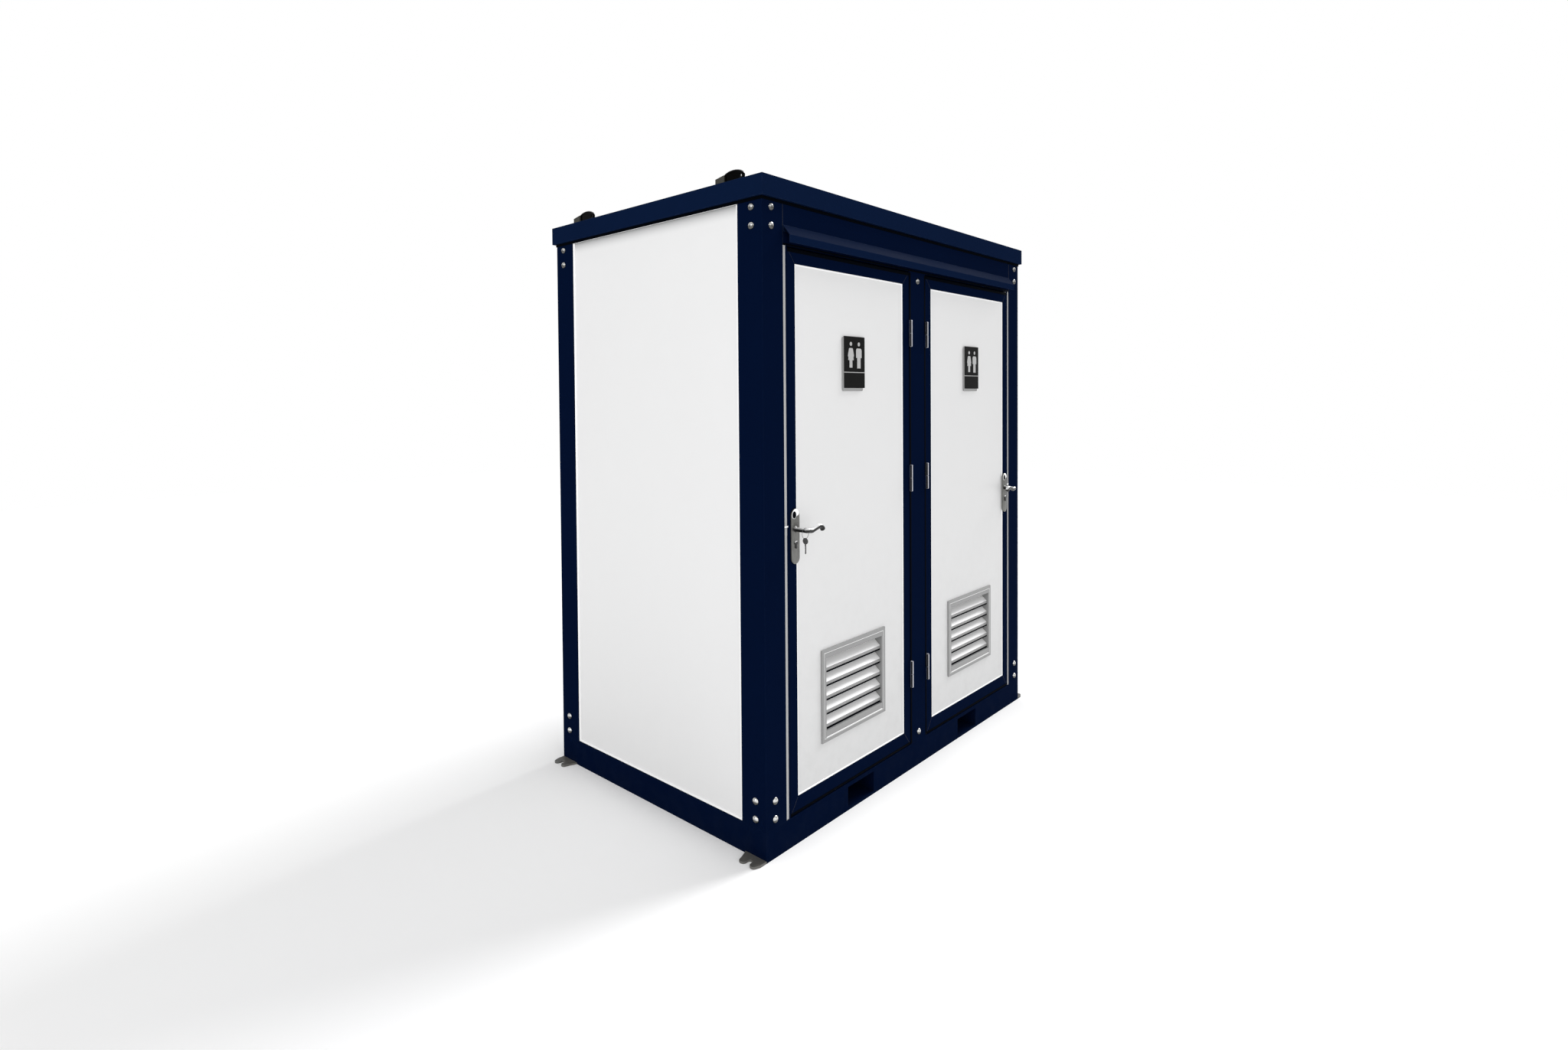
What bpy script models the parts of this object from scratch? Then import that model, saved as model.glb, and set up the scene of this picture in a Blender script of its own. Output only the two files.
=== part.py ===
"""Double site toilet cabin: a bolted steel frame, panel walls, two outward doors and their fittings.

The front faces -Y and +Z is up. The origin is on the ground at the centre of the base. Sizes are in metres.
A side of -1 is the left room, seen from the front, and +1 is the right room.
"""

import math

import bmesh
import bpy
from mathutils import Matrix, Vector

# Cabin, measured over its frame
WIDTH = 2.134
DEPTH = 1.219
HEIGHT = 2.438
GAP = 0.0003
PAST = 0.010

# Base frame
BASE_HEIGHT = 0.110
BEAM_DEPTH = 0.080
BEAM_WALL = 0.005
BEARER_WIDTH = 0.070
FORK_CENTRE = 0.465
FORK_BORE_WIDTH = 0.190
FORK_BORE_HEIGHT = 0.084
FORK_WALL = 0.005
SPIGOT_HEIGHT = 0.125
SPIGOT_WALL = 0.006
LUG_LENGTH = 0.100
LUG_REACH = 0.062
LUG_THICKNESS = 0.008
LUG_SLOT_WIDTH = 0.020
LUG_SLOT_DEPTH = 0.033
LUG_SLOT_PLACE = 0.045
LUG_CLAW_RADIUS = 0.0147
LUG_NEAR_SHOULDER = 0.034
LUG_FAR_SHOULDER = 0.031
LUG_FAR_SLOPE = 0.012

# Posts, walls and floor
POST_SIZE = 0.115
POST_WALL = 0.004
BOLT_RADIUS = 0.0135
BOLT_RISE = 0.0070
BOLT_SINK = 0.0010
BOLT_TURN = math.radians(10)
BOLT_INSET = 0.050
BOLTS_FROM_POST_END = (0.032, 0.098)
BOLT_FROM_MULLION_END = 0.039
PANEL_THICKNESS = 0.050
PANEL_SKIN = 0.004
PANEL_RECESS = 0.008
PARTITION_THICKNESS = 0.040
FLOOR_THICKNESS = 0.025

# Roof
FASCIA_HEIGHT = 0.074
OVERHANG = 0.015
ROOF_WALL = 0.004
TOP_FLANGE = 0.145
FOOT_FLANGE = 0.175
ROOF_PANEL_DROP = 0.018
RIB_HEIGHT = 0.012
RIB_TOP = 0.025
RIB_FOOT = 0.049
RIB_PITCH = 0.230
RIB_COUNT = 7
EYE_INSET_X = 0.0425
EYE_INSET_Y = 0.1695
EYE_BASE = (0.052, 0.148, 0.008)
EYE_RING = (0.0485, 0.0215)
EYE_RING_RISE = 0.0205
EYE_RING_FROM_BASE_END = 0.062
EYE_WIRE = 0.0065
EYE_WEB_THICKNESS = 0.009
EYE_WEB_START = 0.012
EYE_BLOCK_THICKNESS = 0.024
EYE_BLOCK_LENGTH = 0.043
EYE_BLOCK_END = 0.005
EYE_BLOCK_HEIGHTS = (0.034, 0.026)

# Front frame round the doors
FRAME_DEPTH = 0.060
FRAME_WALL = 0.004
MULLION_WIDTH = 0.136
LINTEL_HEIGHT = 0.157
STRIP_WIDTH = 0.0215
STRIP_RECESS = 0.002
STOP_WIDTH = 0.010
HOOD_TOP = 0.085
HOOD_FOLD = 0.124
HOOD_FOOT = 0.152
HOOD_REACH = 0.031
HOOD_SHEET = 0.002
HOOD_FLANGE = 0.024
HOOD_END_CLEARANCE = 0.002

# Doors
DOOR_CLEARANCE = 0.004
DOOR_FOOT_CLEARANCE = 0.004
DOOR_HEAD_CLEARANCE = 0.007
SEAL_GAP = 0.003
LEAF_RECESS = 0.002
LEAF_THICKNESS = 0.046
LEAF_WALL = 0.003
HINGE_STILE = 0.050
LOCK_STILE = 0.045
TOP_RAIL = 0.053
FOOT_RAIL = 0.061
HINGE_HEIGHTS = (0.4275, 1.298, 1.934)
HINGE_LENGTH = 0.116
HINGE_RADIUS = 0.0058
HINGE_BARREL_GAP = 0.0017
HINGE_ROLL_END = -240
HINGE_FLAP_WIDTH = 0.014
HINGE_FLAP_THICKNESS = 0.003
HINGE_SPLIT = 0.0006
PIN_RADIUS = 0.0030
PIN_CLEARANCE = 0.0003
PIN_FOOT = 0.029
PIN_SHORT = 0.0046
DOOR_PANEL_EDGE = 0.030
LOCK_BLOCK_WIDTH = 0.080

# Louvre vents and signs on the doors
VENT_CENTRE = (0.505, 0.503)
VENT_FLANGE = (0.450, 0.361)
VENT_OPENING = (0.396, 0.283)
VENT_OPENING_RISE = 0.005
VENT_FLANGE_THICKNESS = 0.006
VENT_WALL = 0.003
SLAT_COUNT = 5
SLAT_DEPTH = 0.046
SLAT_THICKNESS = 0.004
SLAT_TILT = math.radians(42)
SLAT_LIP = 0.013
SLAT_RECESS = 0.009
SLAT_FOOT_GAP = 0.007
SIGN_CENTRE = (0.510, 1.7875)
SIGN_SIZE = (0.140, 0.213)
SIGN_THICKNESS = 0.006
SIGN_CORNER = 0.007

# Locks
HANDLE_FROM_EDGE = 0.0325
PIVOT_HEIGHT = 1.173
PLATE_SIZE = (0.048, 0.204)
PLATE_END_FLAT = 0.001
PLATE_CENTRE_DROP = 0.026
PLATE_THICKNESS = 0.007
BOSS_RADIUS = 0.0155
BOSS_RISE = 0.0755
BOSS_REACH = 0.008
BOSS_HOLE_RADIUS = 0.0085
KEYWAY_DROP = 0.048
LOCK_NOSE_RADIUS = 0.0085
LOCK_NOSE_TAIL = 0.010
LOCK_NOSE_HEIGHT = 0.031
LOCK_NOSE_REACH = 0.003
SPINDLE_RADIUS = 0.0045
SPINDLE_CLEARANCE = 0.0010
NECK_RADIUS = 0.0085
LEVER_REACH = 0.064
LEVER_BEND = 0.011
LEVER_LENGTH = 0.102
LEVER_WAVE = 0.009
LEVER_TIP_SHARE = 0.08
LEVER_TIP_FLARE = 1.25
LEVER_TIP_ROUND = (0.45, 0.75)
LEVER_STEPS = 14
LATCH_SIZE = (0.022, 0.012, 0.020)
LATCH_THROW = 0.010
LATCH_BEVEL = 0.009
LATCH_CLEARANCE = 0.0004
NOTCH_CLEARANCE = 0.004

# Key on its ring
KEY_RING_RADIUS = 0.0215
KEY_RING_WIRE = 0.0011
KEY_OUT = 0.051
KEY_BOW_RADIUS = 0.0112
KEY_HOLE_RADIUS = 0.0030
KEY_BLADE_WIDTH = 0.0056
KEY_BLADE_LENGTH = 0.038
KEY_THICKNESS = 0.0022
KEY_EDGE = 0.0050
KEY_TEETH = 4
KEY_TOOTH_PITCH = 0.0059
KEY_TOOTH_DEPTH = 0.0018

# Toilet
PAN_CENTRE_FROM_WALL = 0.396
PAN_RIM_HEIGHT = 0.390
PAN_STRETCH = 1.25
PAN_PROFILE = ((0.185, 0.0), (0.182, -0.030), (0.165, -0.070), (0.135, -0.140), (0.115, -0.230),
               (0.118, -0.360))
PAN_FOOT_RADIUS = 0.122
BOWL_PROFILE = ((0.000, -0.210), (0.045, -0.200), (0.080, -0.155), (0.112, -0.080), (0.128, -0.030),
                (0.130, 0.0))
PAN_BODY_WIDTH = 0.190
PAN_SHELF_WIDTH = 0.340
PAN_SHELF_THICKNESS = 0.055
PAN_SHELF_LEAD = 0.030
PAN_SHELF_ROUND = 0.008
PAN_BODY_LEAD = 0.015
CISTERN_SIZE = (0.365, 0.162, 0.350)
CISTERN_WALL = 0.010
CISTERN_ROUND = 0.010
CISTERN_OUTLET_RADIUS = 0.025
FLUSH_RADIUS = 0.0195
FLUSH_HEIGHT = 0.016
FLUSH_PROUD = 0.004
FLUSH_TRAVEL = 0.006
FLUSH_CLEARANCE = 0.0005
FLUSH_EDGE = 0.001
SEAT_OUTER = (0.187, 0.213)
SEAT_INNER = (0.115, 0.142)
SEAT_THICKNESS = 0.018
SEAT_LIFT = 0.0055
SEAT_HINGE_FROM_BACK = 0.008
SEAT_BLOCK = (0.022, 0.022)
SEAT_BLOCK_SPREAD = 0.075
SEAT_BLOCK_CLEARANCE = 0.003
SEAT_BLOCK_SINK = 0.010

# Hand basin
BASIN_SIZE = (0.255, 0.340, 0.125)
BASIN_TOP = 0.860
BASIN_Y = -0.260
BASIN_ROUND = 0.022
BOWL_RADII = (0.088, 0.132, 0.092)
BOWL_OUT = 0.150
TAP_RADIUS = 0.019
TAP_HEIGHT = 0.085
TAP_FROM_WALL = 0.032
SPOUT_RADIUS = 0.011
SPOUT_REACH = 0.082
SPOUT_DROP = 0.022
TAP_CAP_RADIUS = 0.021
TAP_CAP_HEIGHT = 0.014
TAP_STEM_RADIUS = 0.009
TAP_STEM_LENGTH = 0.026
TAP_STEM_CLEARANCE = 0.0004
TAP_TRAVEL = 0.006
TAP_CAP_LIFT = 0.0075

# Places that follow from the sizes above
HALF_WIDTH = WIDTH / 2
HALF_DEPTH = DEPTH / 2
FRONT = -HALF_DEPTH
EAVES = HEIGHT - FASCIA_HEIGHT
BETWEEN_POSTS_X = HALF_WIDTH - POST_SIZE - GAP
BETWEEN_POSTS_Y = HALF_DEPTH - POST_SIZE - GAP
SIDE_WALL_FACE = HALF_WIDTH - PANEL_RECESS - PANEL_THICKNESS
REAR_WALL_FACE = HALF_DEPTH - PANEL_RECESS - PANEL_THICKNESS
FLOOR_TOP = BASE_HEIGHT + GAP + FLOOR_THICKNESS
FORK_HEIGHT = FORK_BORE_HEIGHT + 2 * FORK_WALL
FORK_WIDTH = FORK_BORE_WIDTH + 2 * FORK_WALL
FRAME_BACK = FRONT + FRAME_DEPTH
LINTEL_FOOT = EAVES - LINTEL_HEIGHT
LEAF_FRONT = FRONT + LEAF_RECESS
LEAF_BACK = LEAF_FRONT + LEAF_THICKNESS
LEAF_INNER = MULLION_WIDTH / 2 + DOOR_CLEARANCE
LEAF_OUTER = BETWEEN_POSTS_X - STRIP_WIDTH - DOOR_CLEARANCE
LEAF_FOOT = BASE_HEIGHT + DOOR_FOOT_CLEARANCE
LEAF_TOP = LINTEL_FOOT - DOOR_HEAD_CLEARANCE
PANEL_FRONT = LEAF_FRONT + LEAF_WALL + GAP
PANEL_BACK = LEAF_BACK - LEAF_WALL - GAP
HINGE_X = MULLION_WIDTH / 2 + DOOR_CLEARANCE / 2
HINGE_Y = FRONT - HINGE_BARREL_GAP - HINGE_RADIUS
HANDLE_X = LEAF_OUTER - HANDLE_FROM_EDGE
ROOM_CENTRE = (PARTITION_THICKNESS / 2 + SIDE_WALL_FACE) / 2
PAN_Y = REAR_WALL_FACE - PAN_CENTRE_FROM_WALL
RIM_TOP = FLOOR_TOP + GAP + PAN_RIM_HEIGHT
PAN_BODY_FRONT = PAN_Y + BOWL_PROFILE[-1][0] * PAN_STRETCH + PAN_BODY_LEAD
CISTERN_FRONT = REAR_WALL_FACE - GAP - CISTERN_SIZE[1]
SEAT_BOTTOM = RIM_TOP + SEAT_LIFT
SEAT_HINGE_Y = PAN_Y + SEAT_OUTER[1] - SEAT_HINGE_FROM_BACK
SEAT_HINGE_Z = SEAT_BOTTOM + SEAT_THICKNESS / 2

# Colour (linear), roughness and metallic value of each finish
FINISHES = {
    "navy_steel": ((0.008, 0.019, 0.062), 0.38, 0.0),
    "white_panel": ((0.78, 0.78, 0.79), 0.42, 0.0),
    "light_strip": ((0.43, 0.43, 0.44), 0.45, 0.0),
    "grey_grille": ((0.40, 0.40, 0.40), 0.40, 0.0),
    "black_plate": ((0.006, 0.006, 0.006), 0.45, 0.0),
    "stainless": ((0.45, 0.45, 0.43), 0.30, 1.0),
    "chrome": ((0.70, 0.70, 0.71), 0.12, 1.0),
    "grey_steel": ((0.090, 0.090, 0.085), 0.50, 0.7),
    "black_steel": ((0.010, 0.010, 0.010), 0.35, 0.6),
    "ceramic": ((0.82, 0.82, 0.80), 0.15, 0.0),
    "white_plastic": ((0.80, 0.80, 0.79), 0.30, 0.0),
    "floor_vinyl": ((0.18, 0.19, 0.20), 0.60, 0.0),
    "roof_white": ((0.62, 0.63, 0.64), 0.50, 0.0),
}


def clear_scene():
    """Remove what a new file holds and make the two collections."""
    for item in list(bpy.data.objects):
        bpy.data.objects.remove(item)
    collections = []
    for name in ("site_toilet_cabin", "cutters"):
        collection = bpy.data.collections.new(name)
        bpy.context.scene.collection.children.link(collection)
        collections.append(collection)
    return collections


PARTS, CUTTERS = clear_scene()


def make_finishes():
    """One Principled material for each finish."""
    made = {}
    for name, (colour, roughness, metallic) in FINISHES.items():
        material = bpy.data.materials.new(name)
        material.use_nodes = True
        shader = material.node_tree.nodes["Principled BSDF"]
        shader.inputs["Base Color"].default_value = (*colour, 1.0)
        shader.inputs["Roughness"].default_value = roughness
        shader.inputs["Metallic"].default_value = metallic
        made[name] = material
    return made


MATERIALS = make_finishes()


def part(item, finish):
    """Take a finished shape into the cabin with its material."""
    item.data.materials.clear()
    item.data.materials.append(MATERIALS[finish])
    PARTS.objects.link(item)
    return item


def from_bmesh(name, shape, place=(0.0, 0.0, 0.0)):
    """An object that holds a bmesh, at a place."""
    mesh = bpy.data.meshes.new(name)
    shape.to_mesh(mesh)
    shape.free()
    item = bpy.data.objects.new(name, mesh)
    item.location = place
    return item


def box(name, corner, opposite):
    """A box between two opposite corners, with its origin at its centre."""
    corner, opposite = Vector(corner), Vector(opposite)
    size = [abs(a - b) for a, b in zip(corner, opposite)]
    shape = bmesh.new()
    bmesh.ops.create_cube(shape, size=1.0, matrix=Matrix.Diagonal((*size, 1.0)))
    return from_bmesh(name, shape, (corner + opposite) / 2)


def rod(name, start, end, radius, sides=20):
    """A round bar between two points."""
    start, end = Vector(start), Vector(end)
    axis = end - start
    turn = axis.to_track_quat("Z", "Y").to_matrix().to_4x4()
    shape = bmesh.new()
    bmesh.ops.create_cone(shape, cap_ends=True, segments=sides, radius1=radius, radius2=radius,
                          depth=axis.length, matrix=turn)
    item = from_bmesh(name, shape, (start + end) / 2)
    shade_round(item)
    return item


def shade_round(item, angle=40):
    """Smooth shading that stays sharp at real edges."""
    item.data.shade_smooth()
    item.data.set_sharp_from_angle(angle=math.radians(angle))


def close_mesh(mesh):
    """Weld a mesh's loose caps and turn its faces out."""
    shape = bmesh.new()
    shape.from_mesh(mesh)
    bmesh.ops.remove_doubles(shape, verts=shape.verts, dist=1e-6)
    bmesh.ops.recalc_face_normals(shape, faces=shape.faces)
    shape.to_mesh(mesh)
    shape.free()


def as_closed_mesh(source):
    """Turn a curve, or a mesh with modifiers, into a plain closed mesh object at the same place."""
    bpy.context.scene.collection.objects.link(source)
    bpy.context.view_layer.update()
    evaluated = source.evaluated_get(bpy.context.evaluated_depsgraph_get())
    mesh = bpy.data.meshes.new_from_object(evaluated)
    name = source.name
    place = source.matrix_world.copy()
    bpy.data.objects.remove(source)
    close_mesh(mesh)
    item = bpy.data.objects.new(name, mesh)
    item.matrix_world = place
    return item


def set_origin(item, point):
    """Move an unturned object's origin to a point and leave its shape where it is."""
    point = Vector(point)
    item.data.transform(Matrix.Translation(item.location - point))
    item.location = point


TURNS = {
    "X": Matrix(((0, 0, 1, 0), (1, 0, 0, 0), (0, 1, 0, 0), (0, 0, 0, 1))),
    "Y": Matrix(((1, 0, 0, 0), (0, 0, -1, 0), (0, 1, 0, 0), (0, 0, 0, 1))),
    "Z": Matrix.Identity(4),
}


def outline(name, loops, thickness, axis, place):
    """A flat outline, with any holes, made as thick as asked along one axis and centred on a place.

    Across X an outline's points are (y, z), across Y they are (x, z) and across Z they are (x, y).
    """
    curve = bpy.data.curves.new(name, "CURVE")
    curve.dimensions = "2D"
    curve.fill_mode = "BOTH"
    curve.extrude = thickness / 2
    for loop in loops:
        spline = curve.splines.new("POLY")
        spline.points.add(len(loop) - 1)
        for point, (across, up) in zip(spline.points, loop):
            point.co = (across, up, 0.0, 1.0)
        spline.use_cyclic_u = True
    item = as_closed_mesh(bpy.data.objects.new(name, curve))
    item.data.transform(TURNS[axis])
    item.location = place
    return item


def tube(name, points, radii, bevel_resolution, place):
    """A round tube along points from an open path, with a radius at each point and closed ends."""
    curve = bpy.data.curves.new(name, "CURVE")
    curve.dimensions = "3D"
    curve.bevel_depth = 1.0
    curve.bevel_resolution = bevel_resolution
    curve.use_fill_caps = True
    spline = curve.splines.new("POLY")
    spline.points.add(len(points) - 1)
    for point, where, radius in zip(spline.points, points, radii):
        point.co = (*where, 1.0)
        point.radius = radius
    item = as_closed_mesh(bpy.data.objects.new(name, curve))
    item.location = place
    shade_round(item, 50)
    return item


def turned(name, profile, place, steps, stretch=1.0):
    """A profile of (radius, height) points spun round Z, longer along Y by a factor."""
    mesh = bpy.data.meshes.new(name)
    edges = [(i, i + 1) for i in range(len(profile) - 1)]
    mesh.from_pydata([(radius, 0.0, height) for radius, height in profile], edges, [])
    item = bpy.data.objects.new(name, mesh)
    screw = item.modifiers.new("turn", "SCREW")
    screw.angle = math.tau
    screw.steps = steps
    screw.render_steps = steps
    screw.use_merge_vertices = True
    screw.merge_threshold = 0.0001
    item = as_closed_mesh(item)
    item.data.transform(Matrix.Diagonal((1.0, stretch, 1.0, 1.0)))
    item.location = place
    shade_round(item, 50)
    return item


def arc(centre, radius, start, end, steps):
    """Points along an arc, from one angle to another in degrees."""
    angles = [math.radians(start + (end - start) * i / steps) for i in range(steps + 1)]
    return [(centre[0] + radius * math.cos(a), centre[1] + radius * math.sin(a)) for a in angles]


def rounded_rectangle(width, height, radius, steps=4):
    """The outline of a rectangle with round corners, centred on zero."""
    points = []
    for quarter, (sx, sy) in enumerate(((1, 1), (-1, 1), (-1, -1), (1, -1))):
        centre = (sx * (width / 2 - radius), sy * (height / 2 - radius))
        points += arc(centre, radius, 90 * quarter, 90 * quarter + 90, steps)
    return points


def ellipse(radius_x, radius_y, steps, centre=(0.0, 0.0)):
    """Points round an ellipse."""
    angles = [math.tau * i / steps for i in range(steps)]
    return [(centre[0] + radius_x * math.cos(a), centre[1] + radius_y * math.sin(a)) for a in angles]


def joined(name, items):
    """One object that holds several separate unturned shapes, with its origin at the cabin's."""
    shape = bmesh.new()
    for item in items:
        item.data.transform(Matrix.Translation(item.location))
        shape.from_mesh(item.data)
        bpy.data.objects.remove(item)
    return from_bmesh(name, shape)


def combine(item, tools, operation):
    """Add one Boolean modifier for each tool, and keep the tools with the piece."""
    for tool in tools:
        CUTTERS.objects.link(tool)
        tool.parent = item
        tool.matrix_parent_inverse = Matrix.Translation(-item.location)
        tool.hide_render = True
        tool.display_type = "WIRE"
        boolean = item.modifiers.new(tool.name, "BOOLEAN")
        boolean.operation = operation
        boolean.object = tool
        boolean.solver = "EXACT"
    return item


def cut(item, *tools):
    """Take shapes away from a piece."""
    return combine(item, tools, "DIFFERENCE")


def fuse(item, *tools):
    """Weld shapes to a piece."""
    return combine(item, tools, "UNION")


def soften(item, width, segments=2):
    """Round a piece's edges."""
    bevel = item.modifiers.new("soft_edges", "BEVEL")
    bevel.width = width
    bevel.segments = segments
    bevel.limit_method = "ANGLE"
    bevel.use_clamp_overlap = True
    return item


def carry(name, point, items):
    """Hang pieces on an empty that stands on their joint's axis."""
    empty = bpy.data.objects.new(name, None)
    empty.location = point
    PARTS.objects.link(empty)
    for item in items:
        item.parent = empty
        item.matrix_parent_inverse = Matrix.Translation(-Vector(point))
    return empty


# Base frame

def cross_beam(name, end):
    """A channel across the cabin, open inwards, with two fork windows and two post spigots."""
    outer = end * HALF_DEPTH
    inner = end * (HALF_DEPTH - BEAM_DEPTH)
    web = end * (HALF_DEPTH - BEAM_WALL)
    past = end * (HALF_DEPTH - BEAM_DEPTH - PAST)
    beam = box(name, (-HALF_WIDTH, outer, 0), (HALF_WIDTH, inner, BASE_HEIGHT))
    cut(beam, box(name + "_channel", (BEAM_WALL - HALF_WIDTH, web, BEAM_WALL),
                  (HALF_WIDTH - BEAM_WALL, past, BASE_HEIGHT - BEAM_WALL)))
    for side in (-1, 1):
        reach = FORK_WIDTH / 2 + GAP
        cut(beam, box(f"{name}_window_{side}", (side * FORK_CENTRE - reach, outer + end * PAST, BEAM_WALL),
                      (side * FORK_CENTRE + reach, web - end * BEAM_WALL, BEAM_WALL + FORK_HEIGHT + 2 * GAP)))
    for side in (-1, 1):
        edge_x = HALF_WIDTH - POST_WALL - GAP
        far_x = HALF_WIDTH - POST_SIZE + POST_WALL + GAP
        edge_y = HALF_DEPTH - POST_WALL - GAP
        top = BASE_HEIGHT + SPIGOT_HEIGHT
        fuse(beam, box(f"{name}_spigot_{side}", (side * edge_x, end * edge_y, BASE_HEIGHT - BEAM_WALL / 2),
                       (side * far_x, inner, top)))
        cut(beam, box(f"{name}_spigot_bore_{side}",
                      (side * (edge_x - SPIGOT_WALL), end * (edge_y - SPIGOT_WALL), BASE_HEIGHT + GAP),
                      (side * (far_x + SPIGOT_WALL), inner + end * SPIGOT_WALL, top + PAST)))
    return part(beam, "navy_steel")


def side_beam(name, side):
    """A channel along one side, open inwards, between the cross beams."""
    reach = HALF_DEPTH - BEAM_DEPTH - GAP
    beam = box(name, (side * HALF_WIDTH, -reach, 0), (side * (HALF_WIDTH - BEAM_DEPTH), reach, BASE_HEIGHT))
    cut(beam, box(name + "_channel", (side * (HALF_WIDTH - BEAM_WALL), -reach - PAST, BEAM_WALL),
                  (side * (HALF_WIDTH - BEAM_DEPTH - PAST), reach + PAST, BASE_HEIGHT - BEAM_WALL)))
    return part(beam, "navy_steel")


def floor_bearer():
    """A box section down the middle that carries the floor and the partition."""
    reach = HALF_DEPTH - BEAM_DEPTH - GAP
    half = BEARER_WIDTH / 2
    bearer = box("base_bearer_centre", (-half, -reach, 0), (half, reach, BASE_HEIGHT))
    cut(bearer, box("bearer_bore", (BEAM_WALL - half, -reach - PAST, BEAM_WALL),
                    (half - BEAM_WALL, reach + PAST, BASE_HEIGHT - BEAM_WALL)))
    return part(bearer, "navy_steel")


def fork_tube(name, side):
    """A fork-lift pocket from the front face to the rear face."""
    centre = side * FORK_CENTRE
    low = BEAM_WALL + GAP
    sleeve = box(name, (centre - FORK_WIDTH / 2, -HALF_DEPTH, low),
                 (centre + FORK_WIDTH / 2, HALF_DEPTH, low + FORK_HEIGHT))
    cut(sleeve, box(name + "_bore", (centre - FORK_BORE_WIDTH / 2, -HALF_DEPTH - PAST, low + FORK_WALL),
                    (centre + FORK_BORE_WIDTH / 2, HALF_DEPTH + PAST, low + FORK_WALL + FORK_BORE_HEIGHT)))
    return part(sleeve, "navy_steel")


def tie_down_lug(name, side, end):
    """A flat plate beside the base's foot, with a slot that opens outwards between two round claws."""
    half_slot = LUG_SLOT_WIDTH / 2
    middle = LUG_SLOT_PLACE
    claw = LUG_CLAW_RADIUS
    bottom = LUG_REACH - LUG_SLOT_DEPTH + half_slot
    points = [(0.0, 0.0), (LUG_NEAR_SHOULDER, 0.0)]
    points += arc((LUG_REACH - claw, middle - half_slot - claw), claw, -60, 90, 6)
    points += arc((bottom, middle), half_slot, -90, -270, 8)
    points += arc((LUG_REACH - claw, middle + half_slot + claw), claw, -90, 50, 6)
    points += [(LUG_FAR_SHOULDER, LUG_LENGTH - LUG_FAR_SLOPE), (0.0, LUG_LENGTH)]
    loop = [(side * (HALF_WIDTH + GAP + x), end * (HALF_DEPTH - y)) for x, y in points]
    lug = outline(name, [loop], LUG_THICKNESS, "Z", (0, 0, LUG_THICKNESS / 2))
    return part(lug, "grey_steel")


def floor_board():
    """The floor, notched round the four posts."""
    reach_x = SIDE_WALL_FACE - GAP
    front = FRAME_BACK + GAP
    rear = REAR_WALL_FACE - GAP
    board = box("floor_board", (-reach_x, front, BASE_HEIGHT + GAP), (reach_x, rear, FLOOR_TOP))
    for side in (-1, 1):
        for end in (-1, 1):
            cut(board, box(f"floor_notch_{side}_{end}", (side * BETWEEN_POSTS_X, end * BETWEEN_POSTS_Y, 0),
                           (side * HALF_WIDTH, end * HALF_DEPTH, FLOOR_TOP + PAST)))
    return part(board, "floor_vinyl")


def build_base():
    """The welded base frame, its lugs and the floor."""
    cross_beam("base_beam_front", -1)
    cross_beam("base_beam_rear", 1)
    for side, word in ((-1, "left"), (1, "right")):
        side_beam("base_beam_" + word, side)
        fork_tube("fork_tube_" + word, side)
        tie_down_lug("tie_down_lug_front_" + word, side, -1)
        tie_down_lug("tie_down_lug_rear_" + word, side, 1)
    floor_bearer()
    floor_board()


# Posts and walls

def bolt_head(name, place, facing):
    """A dome head that is sunk a little into the face it bears on."""
    dome = [(BOLT_RADIUS * math.sin(a), BOLT_RISE * math.cos(a)) for a in (math.pi / 8 * i for i in range(5))]
    head = turned(name, dome + [(BOLT_RADIUS, -BOLT_SINK), (0.0, -BOLT_SINK)], (0, 0, 0), 12)
    head.data.transform(Matrix.Rotation(BOLT_TURN, 4, "Z"))
    head.data.transform(Vector((0, 0, 1)).rotation_difference(Vector(facing)).to_matrix().to_4x4())
    head.location = place
    return head


def corner_post(name, side, end):
    """A square box section that slips over the spigots of the base and the roof, with its bolts' heads."""
    foot = BASE_HEIGHT + GAP
    top = EAVES - GAP
    post = box(name, (side * HALF_WIDTH, end * HALF_DEPTH, foot),
               (side * (HALF_WIDTH - POST_SIZE), end * (HALF_DEPTH - POST_SIZE), top))
    far = POST_SIZE - POST_WALL
    cut(post, box(name + "_bore",
                  (side * (HALF_WIDTH - POST_WALL), end * (HALF_DEPTH - POST_WALL), foot - PAST),
                  (side * (HALF_WIDTH - far), end * (HALF_DEPTH - far), top + PAST)))
    front_xy = (side * (HALF_WIDTH - BOLT_INSET), end * HALF_DEPTH)
    side_xy = (side * HALF_WIDTH, end * (HALF_DEPTH - BOLT_INSET))
    heads = []
    for inset in BOLTS_FROM_POST_END:
        for z in (BASE_HEIGHT + inset, EAVES - inset):
            heads.append(bolt_head("head", (*front_xy, z), (0, end, 0)))
            heads.append(bolt_head("head", (*side_xy, z), (side, 0, 0)))
    fuse(post, joined(name + "_bolts", heads))
    return part(post, "navy_steel")


def wall_panel(name, corner, opposite):
    """A panel of two skins joined at its upright edges, open at its top and foot behind the frame."""
    panel = box(name, corner, opposite)
    low = [min(a, b) for a, b in zip(corner, opposite)]
    high = [max(a, b) for a, b in zip(corner, opposite)]
    cut(panel, box(name + "_core", (low[0] + PANEL_SKIN, low[1] + PANEL_SKIN, low[2] - PAST),
                   (high[0] - PANEL_SKIN, high[1] - PANEL_SKIN, high[2] + PAST)))
    return part(panel, "white_panel")


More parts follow.
